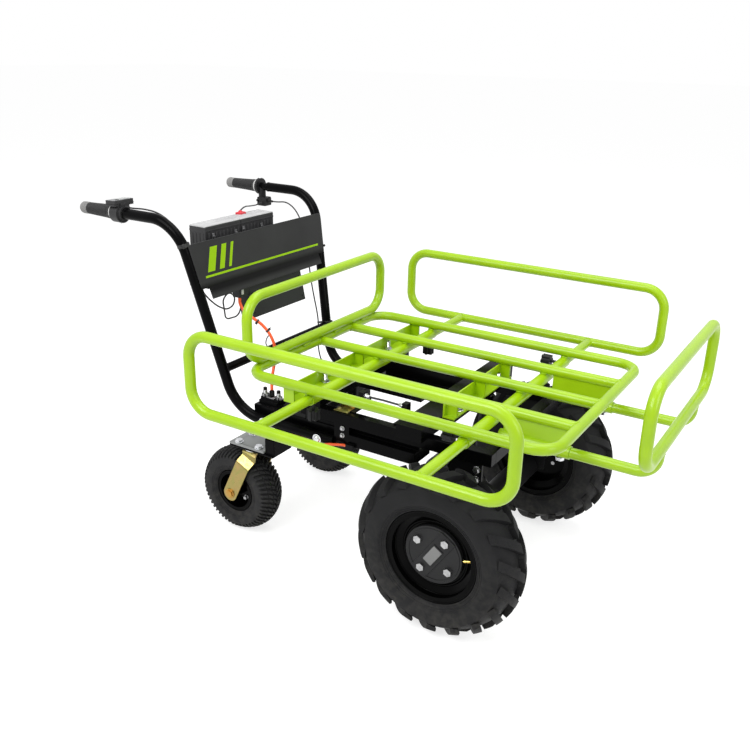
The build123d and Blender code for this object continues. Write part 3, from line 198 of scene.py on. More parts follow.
def moulded_skin():
    """The leathery grain of moulded rubber and plastic."""
    wires, given, result = effect("moulded_skin", {"Grain": 900.0}, ["Height", "Cloud"])
    settings = {"Vector": given["Place"], "Scale": given["Grain"]}
    cells = wires.add("ShaderNodeTexVoronoi", {"feature": "SMOOTH_F1"}, **settings).outputs[0]
    pits = wires.noise(wires.sums("MULTIPLY", given["Grain"], 0.35), 3.0)
    wires.set(result, "Height", wires.sums("MULTIPLY_ADD", pits, 0.8, cells))
    cloud = wires.noise(14.0, 5.0, 0.6)
    wires.set(result, "Cloud", wires.span(cloud, 0.3, 0.7))
    return wires.tree


def plated_bloom():
    """The drifting tints and dull patches of plated steel."""
    wires, given, result = effect("plated_bloom", {"Patch": 45.0}, ["Tint", "Dull", "Height"])
    tint = wires.noise(given["Patch"], 4.0, 1.4)
    wires.set(result, "Tint", wires.span(tint, 0.3, 0.7))
    dull = wires.noise(wires.sums("MULTIPLY", given["Patch"], 4.0), 3.0)
    wires.set(result, "Dull", wires.span(dull, 0.35, 0.75))
    fine = wires.sums("MULTIPLY", given["Patch"], 22.0)
    wires.set(result, "Height", wires.noise(fine, 2.0))
    return wires.tree


def floor_dust():
    """Fine dust that is thickest near the floor and breaks up above it."""
    wires, given, result = effect("floor_dust", {"Top": 0.25, "Amount": 0.3}, ["Mask"])
    height = wires.add("ShaderNodeSeparateXYZ", Vector=given["Place"]).outputs[2]
    low = wires.span(height, 0.0, given["Top"], 1.0, 0.0)
    broken = wires.span(wires.noise(60.0, 6.0, 0.5), 0.4, 0.72)
    wires.set(result, "Mask", wires.sums("MULTIPLY", wires.sums("MULTIPLY", low, broken), given["Amount"]))
    return wires.tree


coat_effect = sprayed_coat()
skin_effect = moulded_skin()
plate_effect = plated_bloom()
dust_effect = floor_dust()


class Finish(Wiring):
    """A material: one shader with its constants on its own sockets, and what changes over the surface."""

    def __init__(self, name, **constants):
        self.material = bpy.data.materials.new(name)
        self.material.use_nodes = True
        super().__init__(self.material.node_tree)
        self.tree.nodes.clear()
        self.shader = self.add("ShaderNodeBsdfPrincipled", None, **constants)
        self.add("ShaderNodeOutputMaterial", None, Surface=self.shader.outputs[0])
        spots = self.add("ShaderNodeTexCoord")
        self.place = spots.outputs["Object"]
        self.facing = spots.outputs["Normal"]

    def use(self, group, **settings):
        node = self.add("ShaderNodeGroup", {"node_tree": group}, Place=self.place, **settings)
        return node.outputs

    def colour(self, value):
        self.set(self.shader, "Base Color", value)

    def rough(self, cloud, low, high):
        self.set(self.shader, "Roughness", self.span(cloud, 0.0, 1.0, low, high))

    def relief(self, height, strength, depth):
        bump = self.add("ShaderNodeBump", None, Height=height, Strength=strength, Distance=depth)
        self.set(self.shader, "Normal", bump.outputs[0])


def coated(kind, name, dark, light, rough, scale, strength, gloss=0.5, **constants):
    """A finish of one kind between two near shades and two levels of roughness."""
    group, scale_name, tint, dull, depth, metal = kind
    finish = Finish(name, Metallic=metal, Specular_IOR_Level=gloss, **constants)
    result = finish.use(group, **{scale_name: scale})
    finish.colour(finish.tints(result[tint], linear(*dark), linear(*light)))
    finish.rough(result[dull], *rough)
    finish.relief(result["Height"], strength, depth)
    return finish


# Each kind has its effect, the name of the effect's scale, the results that set tint and dullness, the
# depth of the relief in metres and how metallic it is
painted = partial(coated, (coat_effect, "Peel", "Cloud", "Cloud", 0.0004, 0.0))
moulded = partial(coated, (skin_effect, "Grain", "Cloud", "Cloud", 0.0005, 0.0))
plated = partial(coated, (plate_effect, "Patch", "Tint", "Dull", 0.0003, 1.0))


def tyre_rubber(name, dark, light, grain):
    """Black rubber with a grey bloom and a little floor dust."""
    finish = Finish(name, Specular_IOR_Level=0.1)
    skin = finish.use(skin_effect, Grain=grain)
    dust = finish.use(dust_effect, Top=0.3, Amount=0.16)
    rubber = finish.tints(skin["Cloud"], linear(*dark), linear(*light))
    finish.colour(finish.tints(dust["Mask"], rubber, linear(120, 116, 108)))
    finish.rough(skin["Cloud"], 0.5, 0.64)
    finish.relief(skin["Height"], 0.16, 0.0006)
    return finish


def panel_finish():
    """Charcoal sheet with three slanted green bars and a thin green line on its front, and a painted shade
    band along its fold.
    """
    finish = painted("charcoal_panel", (48, 48, 49), (54, 54, 55), (0.36, 0.46), 700.0, 0.06, 0.1)
    parts = finish.add("ShaderNodeSeparateXYZ", Vector=finish.place).outputs
    face = finish.add("ShaderNodeSeparateXYZ", Vector=finish.facing).outputs
    front = finish.sums("GREATER_THAN", face[0], 0.8)
    slant = finish.sums("MULTIPLY_ADD", parts[2], -0.42, parts[1])
    bars = None
    for start, wide in ((-0.512, 0.026), (-0.473, 0.018), (-0.442, 0.010)):
        inside = finish.sums("COMPARE", slant, start, wide / 2)
        bars = inside if bars is None else finish.sums("MAXIMUM", bars, inside)
    bars = finish.sums("MULTIPLY", bars, finish.sums("COMPARE", parts[2], 0.742, 0.029))
    line = finish.sums("COMPARE", parts[2], 0.703, 0.0026)
    line = finish.sums("MULTIPLY", line, finish.sums("COMPARE", parts[1], 0.0, 0.236))
    mark = finish.sums("MULTIPLY", finish.sums("MAXIMUM", bars, line), front)
    sheet = finish.shader.inputs["Base Color"].links[0].from_socket
    # Painted shade: a near-black band, darkest at the fold line, stands in for the shade where the sheet
    # bends.
    off_fold = finish.sums("ABSOLUTE", finish.sums("SUBTRACT", parts[2], 0.674), None)
    painted_crease_shade = finish.span(off_fold, 0.005, 0.018, 0.96, 0.0)
    sheet = finish.tints(painted_crease_shade, sheet, linear(5, 5, 6))
    finish.colour(finish.tints(mark, sheet, linear(150, 194, 22)))
    return finish


# Each row gives the name, two shades, the roughness, the effect's scale, its relief and the gloss
lime_paint = painted(
    "lime_powder_coat", (149, 188, 5), (160, 198, 12), (0.28, 0.38), 420.0, 0.05, 0.34,
    Coat_Weight=0.2, Coat_Roughness=0.12,
)
gloss_black = painted("gloss_black_paint", (5, 5, 6), (9, 9, 10), (0.16, 0.26), 380.0, 0.05, 0.045)
satin_black = painted("satin_black_paint", (12, 12, 13), (17, 17, 18), (0.36, 0.48), 520.0, 0.08, 0.09)
charcoal_panel = panel_finish()
plate_grey = painted("caster_plate_grey", (132, 134, 134), (146, 148, 148), (0.4, 0.5), 520.0, 0.08)
rim_black = painted("rim_gloss_black", (3, 3, 3), (6, 6, 6), (0.12, 0.2), 300.0, 0.04, 0.045)
hub_black = painted("hub_satin_black", (26, 26, 27), (34, 34, 35), (0.36, 0.46), 900.0, 0.14, 0.2)
cap_grey = painted("hub_cap_grey", (112, 112, 112), (124, 124, 124), (0.42, 0.5), 900.0, 0.1)
motor_grey = painted("motor_grey", (58, 59, 61), (70, 71, 73), (0.36, 0.46), 700.0, 0.1)
controller_shell = painted("controller_shell", (33, 34, 35), (41, 42, 43), (0.4, 0.5), 900.0, 0.1, 0.2)
screen_glass = painted(
    "screen_glass", (148, 151, 149), (164, 167, 164), (0.08, 0.14), 200.0, 0.01, Coat_Weight=0.3
)
bright_zinc = plated("bright_zinc", (196, 198, 202), (222, 223, 225), (0.18, 0.34), 45.0, 0.04)
bare_steel = plated("bare_steel", (150, 150, 152), (184, 184, 184), (0.24, 0.4), 70.0, 0.04)
gold_zinc = plated("gold_zinc", (142, 140, 80), (164, 140, 90), (0.26, 0.4), 26.0, 0.05)
dull_lead = plated("dull_lead", (92, 92, 94), (128, 128, 129), (0.42, 0.58), 90.0, 0.04)
copper_zinc = plated("copper_zinc", (168, 134, 68), (190, 144, 78), (0.28, 0.42), 40.0, 0.05)
brass = plated("valve_brass", (214, 186, 96), (226, 204, 122), (0.2, 0.32), 80.0, 0.04)
drive_rubber = tyre_rubber("drive_tyre_rubber", (29, 29, 30), (38, 38, 39), 700.0)
caster_rubber = tyre_rubber("caster_tyre_rubber", (35, 35, 36), (45, 45, 46), 900.0)
grip_rubber = moulded("grip_rubber", (26, 26, 27), (37, 37, 37), (0.5, 0.66), 1100.0, 0.2, 0.35)
grip_end_rubber = moulded("grip_end_rubber", (104, 104, 103), (134, 133, 132), (0.5, 0.64), 500.0, 0.25)
black_plastic = moulded("black_plastic", (24, 24, 25), (32, 32, 33), (0.36, 0.5), 1300.0, 0.12, 0.2)
display_plastic = moulded("display_plastic", (44, 44, 45), (54, 54, 55), (0.4, 0.52), 1300.0, 0.12, 0.25)
display_top_grey = moulded("display_top_grey", (118, 119, 120), (132, 133, 134), (0.34, 0.46), 1300.0, 0.1)
white_plastic = moulded("white_plastic", (186, 186, 184), (202, 202, 200), (0.36, 0.46), 900.0, 0.12)
red_plastic = moulded("red_plastic", (196, 40, 52), (214, 58, 66), (0.34, 0.46), 900.0, 0.12)
battery_black = moulded("battery_black", (44, 44, 45), (55, 55, 56), (0.42, 0.56), 800.0, 0.14, 0.3)
battery_lid_grey = moulded("battery_lid_grey", (172, 172, 173), (192, 192, 192), (0.4, 0.54), 800.0, 0.12)
black_lead = moulded("black_lead", (22, 22, 23), (30, 30, 31), (0.34, 0.46), 1500.0, 0.06, 0.4)
orange_lead = moulded("orange_lead", (232, 84, 34), (244, 100, 48), (0.34, 0.46), 1500.0, 0.06, 0.4)
strap_nylon = moulded("strap_nylon", (18, 18, 19), (26, 26, 27), (0.4, 0.52), 1600.0, 0.08)


def named(names):
    """The names in a line; one with a star is there for the right and for the left."""
    return [name.replace("*", side) for name in names.split() for side in (sides if "*" in name else ("",))]


worn_by = {
    lime_paint: "bed_loop bed_slats side_sockets front_hoop_sockets rear_bed_bracket front_bed_bracket"
    " rear_hoop *_side_hoop front_hoop",
    gloss_black: "*_chassis_beam cross_beams caster_cross_beam handle_frame",
    satin_black: "battery_tray axle_housing cable_clamps",
    motor_grey: "drive_motor",
    bare_steel: "motor_rotor ring_gear *_axle_shaft *_wheel_bolts",
    plate_grey: "caster_plates",
    bright_zinc: "frame_bolts handle_bolts",
    charcoal_panel: "front_panel",
    battery_black: "batteries",
    controller_shell: "controller_box",
    display_plastic: "throttle_housing",
    black_plastic: "power_button selector_housing selector_toggle *_rear_knob *_front_knob",
    grip_rubber: "twist_grip left_grip",
    black_lead: "throttle_lead selector_leads brake_cable",
    orange_lead: "motor_leads",
    drive_rubber: "*_tyre",
    rim_black: "*_rim *_caster_rim",
    hub_black: "*_hub",
    gold_zinc: "*_caster_fork *_caster_axle",
    caster_rubber: "*_caster_tyre",
}
finish_of = {name: finish.material for finish, names in worn_by.items() for name in named(names)}
for name, solid in nodes.items():
    if not solid.material_slots:
        solid.data.materials.append(finish_of[name])
    for slot in solid.material_slots:
        slot.material = finish_of[name]

# Sheet and cast pieces have broken edges, by their width in millimetres
broken_edges = {
    0.6: "front_panel power_button handle_bolts",
    0.8: "rear_bed_bracket front_bed_bracket battery_tray cable_clamps frame_bolts",
    1.0: "*_caster_axle",
    1.2: "caster_plates throttle_housing selector_housing *_rear_knob *_front_knob *_wheel_bolts",
    1.8: "*_hub",
    2.0: "caster_cross_beam controller_box axle_housing",
    2.2: "*_chassis_beam cross_beams",
    3.0: "batteries drive_motor",
}
for width, names in broken_edges.items():
    for name in named(names):
        modifiers = nodes[name].modifiers
        modifiers.new("weld", "WELD").merge_threshold = 0.00002
        bevel = modifiers.new("broken_edges", "BEVEL")
        bevel.width = width / 1000
        bevel.segments = 2
        bevel.limit_method = "ANGLE"
        bevel.angle_limit = radians(40)
        bevel.use_clamp_overlap = True
        bevel.harden_normals = False
        modifiers.new("even_shading", "WEIGHTED_NORMAL").keep_sharp = True


# Building


def circle(middle, first, second, radius, count):
    """Points round a middle, in the plane of two directions."""
    turns = [2 * pi * i / count for i in range(count)]
    return [middle + (first * cos(t) + second * sin(t)) * radius for t in turns]


class Shape:
    """The points and faces of one piece, in millimetres from the front axle."""

    def __init__(self):
        self.points = []
        self.faces = []

    def add(self, points, faces):
        first = len(self.points)
        self.points += [Vector(p) for p in points]
        self.faces += [tuple(first + i for i in face) for face in faces]

    def skin(self, rows, joined=False):
        """Faces between rings of equally many points; joined closes the row of rings on itself."""
        count = len(rows[0])
        points = [p for row in rows for p in row]
        faces = []
        last = len(rows) if joined else len(rows) - 1
        for i in range(last):
            here, there = i * count, (i + 1) % len(rows) * count
            for j in range(count):
                k = (j + 1) % count
                faces.append((here + j, here + k, there + k, there + j))
        if not joined:
            faces.append(tuple(range(count))[::-1])
            faces.append(tuple(range((len(rows) - 1) * count, len(rows) * count)))
        self.add(points, faces)

    def turned(self, start, axis, outline, steps=32, joined=False):
        """A form turned about an axis from (along, radius) pairs."""
        axis = Vector(axis).normalized()
        across = axis.orthogonal().normalized()
        other = axis.cross(across)
        rows = []
        for along, radius in outline:
            middle = Vector(start) + axis * along
            rows.append(circle(middle, across, other, max(radius, 0.01), steps))
        self.skin(rows, joined)

    def ring(self, start, axis, radius, wide, high, steps, corners):
        """A ring of oval section round an axis."""
        outline = []
        for i in range(corners):
            t = 2 * pi * i / corners
            outline.append((wide * cos(t), radius + high * sin(t)))
        self.turned(start, axis, outline, steps, joined=True)

    def rings(self, centre, axis, rows, steps):
        """Rings on both faces of a wheel, each from its offset, radius, half width, height and corners."""
        for face in (-1, 1):
            for offset, radius, wide, high, corners in rows:
                self.ring(centre + Vector((0, face * offset, 0)), axis, radius, wide, high, steps, corners)

    def bead(self, loop, radius, ripple=0.14, pitch=3, sides_round=6):
        """A rippled bead along a closed loop of points."""
        middle = sum(loop, Vector()) / len(loop)
        rows = []
        for i, spot in enumerate(loop):
            along = (loop[(i + 1) % len(loop)] - loop[i - 1]).normalized()
            out = spot - middle
            out = (out - along * out.dot(along)).normalized()
            up = along.cross(out)
            size = radius * (1 + ripple * cos(2 * pi * i / pitch))
            rows.append(circle(spot, out, up, size, sides_round))
        self.skin(rows, joined=True)

    def strip(self, path, radii, corners=8):
        """A round strip along an open row of points, with a radius at each."""
        rows = []
        out = None
        for i, spot in enumerate(path):
            along = (path[min(i + 1, len(path) - 1)] - path[max(i - 1, 0)]).normalized()
            out = along.orthogonal() if out is None else out
            out = (out - along * out.dot(along)).normalized()
            up = along.cross(out)
            rows.append(circle(spot, out, up, radii[i], corners))
        self.skin(rows)

    def rounded_box(self, middle, size, edge, turn=None, steps=2):
        """A box with rounded edges, turned by a matrix about its middle."""
        mesh = bmesh.new()
        bmesh.ops.create_cube(mesh, size=1.0)
        bmesh.ops.scale(mesh, vec=size, verts=mesh.verts)
        bmesh.ops.bevel(mesh, geom=mesh.edges[:], offset=edge, segments=steps, profile=0.5, affect="EDGES")
        turn = turn or Matrix.Identity(3)
        mesh.verts.index_update()
        self.add(
            [Vector(middle) + turn @ v.co for v in mesh.verts],
            [[v.index for v in face.verts] for face in mesh.faces],
        )
        mesh.free()

    def hexagon(self, start, axis, across, height):
        """A bolt head with six flats and a chamfered top."""
        axis = Vector(axis).normalized()
        first = axis.orthogonal().normalized()
        other = axis.cross(first)
        rows = []
        for along, share in ((0, 1.0), (height * 0.8, 1.0), (height, 0.86)):
            rows.append(circle(Vector(start) + axis * along, first, other, across / sqrt(3) * share, 6))
        self.skin(rows)


def turn_to(x_way, z_way):
    """The matrix whose X and Z axes point the given ways."""
    x_way = Vector(x_way).normalized()
    z_way = Vector(z_way).normalized()
    return Matrix((x_way, z_way.cross(x_way), z_way)).transposed()


def linked(name, data):
    """A new object in the scene."""
    thing = bpy.data.objects.new(name, data)
    bpy.context.scene.collection.objects.link(thing)
    return thing


def place_piece(name, shape, finish, body="chassis", sharp=38):
    """Makes the piece, smooth over its rounded faces, and lets it ride on its body."""
    mesh = bpy.data.meshes.new(name)
    mesh.from_pydata([at(*p) for p in shape.points], [], shape.faces)
    faces = bmesh.new()
    faces.from_mesh(mesh)
    bmesh.ops.recalc_face_normals(faces, faces=faces.faces[:])
    faces.to_mesh(mesh)
    faces.free()
    mesh.shade_smooth()
    mesh.set_sharp_from_angle(angle=radians(sharp))
    mesh.materials.append(finish.material)
    piece = linked(name, mesh)
    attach(piece, body)
    return piece


# Welds on the green tubes

tube_weld = 2.2
slat_weld = 2.0
socket_weld = 2.4
bed_side_weld = bed_half - 4.0
seam_rows = (-205.0, -70.0, 70.0, 205.0)
seam_half = 16.0
seam_apart = 8.0
seam_radii = [1.6] + [4.2 + 0.5 * cos(pi * i) for i in range(15)] + [1.6]
front_weld_reach = front_hoop_x + 10.2
collar_weld_x = -929.4
collar_weld_outline = [(0, 11.2), (0, 13.0), (1.2, 14.1), (4.0, 14.1), (5.2, 13.2)]


def saddle(joint, arm, arm_radius, main, main_radius, count=36):
    """The loop of points where a tube's end meets the side of another tube."""
    arm = Vector(arm).normalized()
    main = Vector(main)
    main = (main - arm * main.dot(arm)).normalized()
    across = arm.cross(main)
    loop = []
    for i in range(count):
        t = 2 * pi * i / count
        side = arm_radius * sin(t)
        reach = sqrt(max(main_radius**2 - side**2, 0.0))
        loop.append(Vector(joint) + main * (arm_radius * cos(t)) + across * side + arm * reach)
    return loop


def crossing(x, y, upper_radius, count=24, radius=8.0):
    """The loop of points in the gap round the spot where a bed tube lies across a socket."""
    loop = []
    for i in range(count):
        t = 2 * pi * i / count
        along, across = radius * cos(t), radius * sin(t)
        high = bed_z - sqrt(upper_radius**2 - across**2)
        low = socket_z + sqrt(socket_tube**2 - along**2)
        loop.append(Vector((x + along, y + across, (high + low) / 2)))
    return loop


bed_welds = Shape()
for row in slat_rows:
    for joint_x, way in ((bed_front_x, -1), (bed_rear_x, 1)):
        loop = saddle((joint_x, row, bed_z), (way, 0, 0), slat_tube, leftward, bed_tube)
        bed_welds.bead(loop, slat_weld)
for place in socket_places:
    for row in slat_rows:
        bed_welds.bead(crossing(place, row, slat_tube), socket_weld)
    for way in (-1, 1):
        bed_welds.bead(crossing(place, way * bed_side_weld, bed_tube), socket_weld)
bed_spot = Vector((bed_rear_x, 0, bed_z))
hoop_spot = Vector((sum(room("rear_hoop")[0]) / 2, 0, room("rear_hoop")[2][0] + bed_tube))
beside = (hoop_spot - bed_spot).cross(leftward).normalized()
seam_steps = len(seam_radii) - 1
for row in seam_rows:
    for offset in (-seam_apart, seam_apart):
        seam = (bed_spot + hoop_spot) / 2 + beside * offset
        rows = [row - seam_half + 2 * seam_half * i / seam_steps for i in range(seam_steps + 1)]
        bed_welds.strip([seam + Vector((0, y, 0)) for y in rows], seam_radii)
place_piece("bed_welds", bed_welds, lime_paint, sharp=60)

for side, way in sides.items():
    hoop_welds = Shape()
    for place in socket_places:
        joint = (place, way * side_hoop_y, socket_z)
        hoop_welds.bead(saddle(joint, (0, -way, 0), slat_tube, forward, bed_tube), tube_weld)
    place_piece(f"{side}_side_hoop_welds", hoop_welds, lime_paint, f"{side}_side_hoop", 60)

front_welds = Shape()
for row in (slat_rows[0], slat_rows[2]):
    joint = (front_hoop_x, row, front_hoop_z)
    loop = saddle(joint, (0, 0, -1), slat_tube, leftward, bed_tube)
    front_welds.bead([Vector((min(p.x, front_weld_reach), p.y, p.z)) for p in loop], tube_weld)
place_piece("front_hoop_welds", front_welds, lime_paint, "front_hoop", 60)

handle_welds = Shape()
for way in (-1, 1):
    joint = handle_tube_at(crossbar_z, way)
    loop = saddle(joint, (0, -way, 0), bar_radius, handle_tube_run(way), handle_tube)
    handle_welds.bead(loop, tube_weld)
    handle_welds.turned(on_bar(collar_weld_x, way), forward, collar_weld_outline)
place_piece("handle_welds", handle_welds, gloss_black, sharp=60)


# Bolts, studs and washers


def washer(shape, spot, axis, radius, thick, lower_edge=0.6, steps=32):
    """A flat washer with broken edges."""
    bore, edge, edge_high = 6.0, 0.6, 0.4
    foot = [(0, bore), (0, radius - lower_edge), (edge, radius)]
    head = [(thick - edge_high, radius), (thick, radius - edge), (thick, bore)]
    shape.turned(spot, axis, foot + head, steps)


def stud(shape, spot, radius, rings, end):
    """A threaded end that stands up out of its nut."""
    core, start, pitch, groove = 4.0, 7.0, 0.7, 0.4
    thread = [(start + pitch * i, radius + groove * (i % 2)) for i in range(rings)]
    shape.turned(spot, upward, [(start - 0.5, core)] + thread + [(end, core)], 20)


def screw(shape, spot, axis, collar, lift, across, high, steps=24):
    """A head with six flats that stands a little way up a round collar."""
    shape.turned(spot, axis, collar, steps)
    shape.hexagon(Vector(spot) + Vector(axis) * lift, axis, across, high)


rear_stud_spots = [(-411.0, y, 465.0) for y in (-150.0, 150.0)]
front_stud_spots = [(-61.0, y, 461.0) for y in (-110.0, 110.0)]
bracket_studs = Shape()
for spot in rear_stud_spots + front_stud_spots:
    stud(bracket_studs, spot, 5.15, 22, 23.0)
    washer(bracket_studs, spot, upward, 12.0, 2.2, 0.5)
place_piece("bracket_studs", bracket_studs, bright_zinc)

plate_bolt_x, plate_bolt_y = 33.0, 28.0
plate_top = room("caster_plates")[2][1]
plate_washers = Shape()
for way in (-1, 1):
    for x in (-plate_bolt_x, plate_bolt_x):
        for y in (-plate_bolt_y, plate_bolt_y):
            washer(plate_washers, (swivel_x + x, way * caster_y + y, plate_top), upward, 12.0, 2.0)
place_piece("plate_washers", plate_washers, bright_zinc)

beam_side = room("right_chassis_beam")[1][0]
beam_screw_x = -315.3
beam_collar = [(-1.0, 6.2), (1.0, 6.2), (1.4, 5.6), (1.4, 3.0)]
hanger_face = 206.5
hanger_collar = [(-1.0, 9.0), (1.4, 9.0), (1.8, 8.4), (1.8, 4.0)]
beam_screws = Shape()
for way, face in ((-1, beam_side), (1, -beam_side)):
    for z in (387.5, 369.0):
        screw(beam_screws, (beam_screw_x, face, z), (0, way, 0), beam_collar, 1.2, 8.0, 4.0)
for way in (-1, 1):
    for x in (38.0, -38.0):
        for z in (376.0, 352.0):
            screw(beam_screws, (x, way * hanger_face, z), (0, way, 0), hanger_collar, 1.6, 13.0, 6.0)
place_piece("beam_screws", beam_screws, bare_steel)

beam_top = room("right_chassis_beam")[2][1]
guide_x = -326.0
guide_sheet = 2.8
guide_bracket = Shape()
guide_bracket.rounded_box((guide_x, -191.0, beam_top + guide_sheet / 2), (40.0, 34.0, guide_sheet), 0.8)
guide_bracket.rounded_box((guide_x, -175.4, beam_top + 9.0), (40.0, guide_sheet, 18.0), 0.8)
guide_bracket.hexagon((guide_x - 8.0, -200.0, beam_top + guide_sheet), upward, 10.0, 4.5)
place_piece("guide_bracket", guide_bracket, gold_zinc)

rail_top = 377.0
clamp_y = -163.0
clamp_places = (-594.0, -550.0)
clamp_bolts = Shape()
for x in clamp_places:
    clamp_bolts.hexagon((x, clamp_y, rail_top + 11.6), upward, 17.8, 7.8)
    stud(clamp_bolts, (x, clamp_y, rail_top + 12.0), 5.2, 14, 17.4)
clamp_middle = (sum(clamp_places) / 2, clamp_y, rail_top + 12.6)
clamp_bolts.rounded_box(clamp_middle, (26.0, 20.0, 3.0), 1.0)
place_piece("clamp_bolts", clamp_bolts, bare_steel)

case_middle = -150.0
case_side = 22.0
case_screw_circle = 103.0
case_screw_count = 10
case_collar = [(-1.0, 7.0), (1.6, 7.0), (1.6, 4.0)]
case_screws = Shape()
for i in range(case_screw_count):
    t = 2 * pi * i / case_screw_count + 0.2
    x, z = case_screw_circle * cos(t), drive_axle_z + case_screw_circle * sin(t)
    for way in (-1, 1):
        spot = (x, case_middle + way * case_side, z)
        screw(case_screws, spot, (0, way, 0), case_collar, 1.5, 10.0, 5.0, 20)
place_piece("case_screws", case_screws, bare_steel)

(motor_x0, motor_x1), (motor_y0, motor_y1), (motor_z0, motor_z1) = room("drive_motor")
motor_x = (motor_x0 + motor_x1) / 2
motor_z = (motor_z0 + motor_z1) / 2
motor_radius = (motor_z1 - motor_z0) / 2
motor_long = motor_y1 - motor_y0
motor_bolt_circle = 40.0
fin_count = 9
motor_bands = Shape()
for along in (8.0, motor_long - 16.0):
    low, high = motor_radius - 1, motor_radius + 1.6
    outline = [(along - 5, low), (along - 4, high), (along + 4, high), (along + 5, low)]
    motor_bands.turned((motor_x, motor_y0, motor_z), leftward, outline, 64)
for i in range(fin_count):
    along = 26.0 + i * (motor_long - 56.0) / (fin_count - 1)
    motor_bands.ring((motor_x, motor_y0 + along, motor_z), leftward, motor_radius, 1.6, 1.4, 64, 6)
for i in range(4):
    t = pi / 4 + i * pi / 2
    spot = (motor_x + motor_bolt_circle * cos(t), motor_y1, motor_z + motor_bolt_circle * sin(t))
    motor_bands.hexagon(spot, leftward, 8.0, 4.0)
motor_bands.turned((motor_x, motor_y1, motor_z), leftward, [(-1, 18), (3, 18), (5, 15), (5.5, 1)], 32)
place_piece("motor_bands", motor_bands, motor_grey)


# Driven wheels

# Radius, half width and height of each raised ring on a tyre's side wall
wall_ribs = ((115.6, 2.2, 2.6), (122.0, 1.2, 1.0), (127.0, 0.9, 0.8), (150.0, 0.9, 0.8), (154.0, 0.9, 0.8))
valve_turn = radians(12.0)


def tyre_wall_y(radius):
    """How far out the drive tyre's side wall is at a radius, from the tyre's middle."""
    bulge, bulge_y, bulge_radius = 29.53, 24.47, 138.75
    return bulge_y + sqrt(bulge**2 - (radius - bulge_radius) ** 2)


def rim_edges_shape(centre, out):
    """The rolled edges of the rim and of its dish."""
    edges = Shape()
    edges.rings(centre, out, ((40.2, 110.4, 2.3, 2.6, 12), (27.0, 97.4, 1.8, 1.8, 10)), 96)
    edges.ring(centre + out * 18.0, out, 79.0, 3.4, 3.4, 96, 10)
    return edges


def hub_bar_shape(centre, out, turn):
    """The bar across the hub, the raised edge round it and the seat of the cap."""
    bar = Shape()
    bar.rounded_box(centre + out * (hub_face + 0.6), (128.0, 42.0, 4.0), 1.4, turn)
    raised = [(-1, 60.5), (1.2, 61.2), (1.6, 63.0), (1.0, 65.0), (-1, 66.0)]
    bar.turned(centre, out, [(hub_face + high, radius) for high, radius in raised], 72)
    bar.rounded_box(centre + out * (hub_face + 3.2), (54.0, 29.0, 3.0), 1.2, turn)
    return bar


def valve_shape(centre, out):
    """The tyre's valve, which points inwards from the rim."""
    valve = Shape()
    aim = Vector((cos(valve_turn), 0, sin(valve_turn)))
    stem = [(-1, 4.2), (2, 4.0), (3.4, 2.7), (6.4, 2.5)]
    nut = [(6.6, 3.4), (8.6, 3.4), (8.8, 2.3), (12, 2.3)]
    cap = [(12.2, 3.0), (18, 3.0), (19, 1.8)]
    valve.turned(centre + out * 33.0 + aim * 97.5, (-aim + out * 0.18).normalized(), stem + nut + cap, 20)
    return valve


for side, way in sides.items():
    body = f"{side}_drive_wheel"
    out = Vector((0, way, 0))
    centre = Vector((0, way * drive_centre_y, drive_axle_z))
    turn = turn_to((cos(hub_bar_turn), 0, sin(hub_bar_turn)), out)
    ribs = Shape()
    ribs.rings(centre, out, [(tyre_wall_y(radius), radius, *size, 8) for radius, *size in wall_ribs], 96)
    place_piece(f"{side}_tyre_ribs", ribs, drive_rubber, body, 60)
    place_piece(f"{side}_rim_edges", rim_edges_shape(centre, out), rim_black, body, 60)
    place_piece(f"{side}_hub_bar", hub_bar_shape(centre, out, turn), hub_black, body)
    cap = Shape()
    cap.rounded_box(centre + out * (hub_face + 4.4), (48.0, 24.0, 3.0), 1.1, turn, 3)
    place_piece(f"{side}_hub_cap", cap, cap_grey, body)
    place_piece(f"{side}_valve", valve_shape(centre, out), brass, body)


# Casters

caster_radius = 119.0
caster_shoulder = 40.5
tread_drop = 16.0
tread_depth = 6.5
tread_count = 52
fork_out = 50.0
fork_half_wide = 21.5
fork_half_thick = 2.5
fork_crown_z = 247.0
race_z = 249.0
race_outline = [
    (0, 20), (0, 31), (1, 32), (3.2, 32), (3.4, 29), (4.4, 29), (4.6, 33), (6.4, 33), (6.6, 20),
]
rim_bolt_circle = 32.0
rim_bolt_y = 8.0
rim_bolt_collar = [(-1, 7.0), (1.2, 7.0), (1.6, 6.4), (1.6, 3.0)]


def smooth_line(points, steps=4):
    """Points along a smooth curve through the given ones."""
    row = [points[0]] + list(points) + [points[-1]]
    line = []
    for four in zip(row, row[1:], row[2:], row[3:]):
        for i in range(steps):
            t = i / steps
            spot = []
            for p, q, r, s in zip(*four):
                bend = (2 * p - 5 * q + 4 * r - s) * t**2 + (3 * q - p - 3 * r + s) * t**3
                spot.append((2 * q + (r - p) * t + bend) / 2)
            line.append(tuple(spot))
    line.append(tuple(points[-1]))
    return line


def tread_radius(across, depth):
    """The radius at a depth in the caster's tread, at a distance from its middle."""
    return caster_radius - tread_drop * (across / caster_shoulder) ** 2 - depth


def tread_block(shape, centre, low, high, angle, arc, skew):
    """A block of rubber on the tread between two distances from its middle, leaning back by skew."""
    rows = []
    for depth, shrink in ((tread_depth + 0.6, 0.0), (0.9, 0.05), (0.0, 0.16)):
        ring = []
        for across, late in ((low, -1), (low, 1), (high, 1), (high, -1)):
            pull = (low + high) / 2
            y = pull + (across - pull) * (1 - shrink)
            lean = skew * (across - low) / (high - low)
            t = angle + lean + late * arc / 2 * (1 - shrink)
            r = tread_radius(min(abs(y), caster_shoulder + 1.0), depth)
            ring.append(centre + Vector((r * cos(t), y, r * sin(t))))
        rows.append(ring)
    shape.skin(rows)


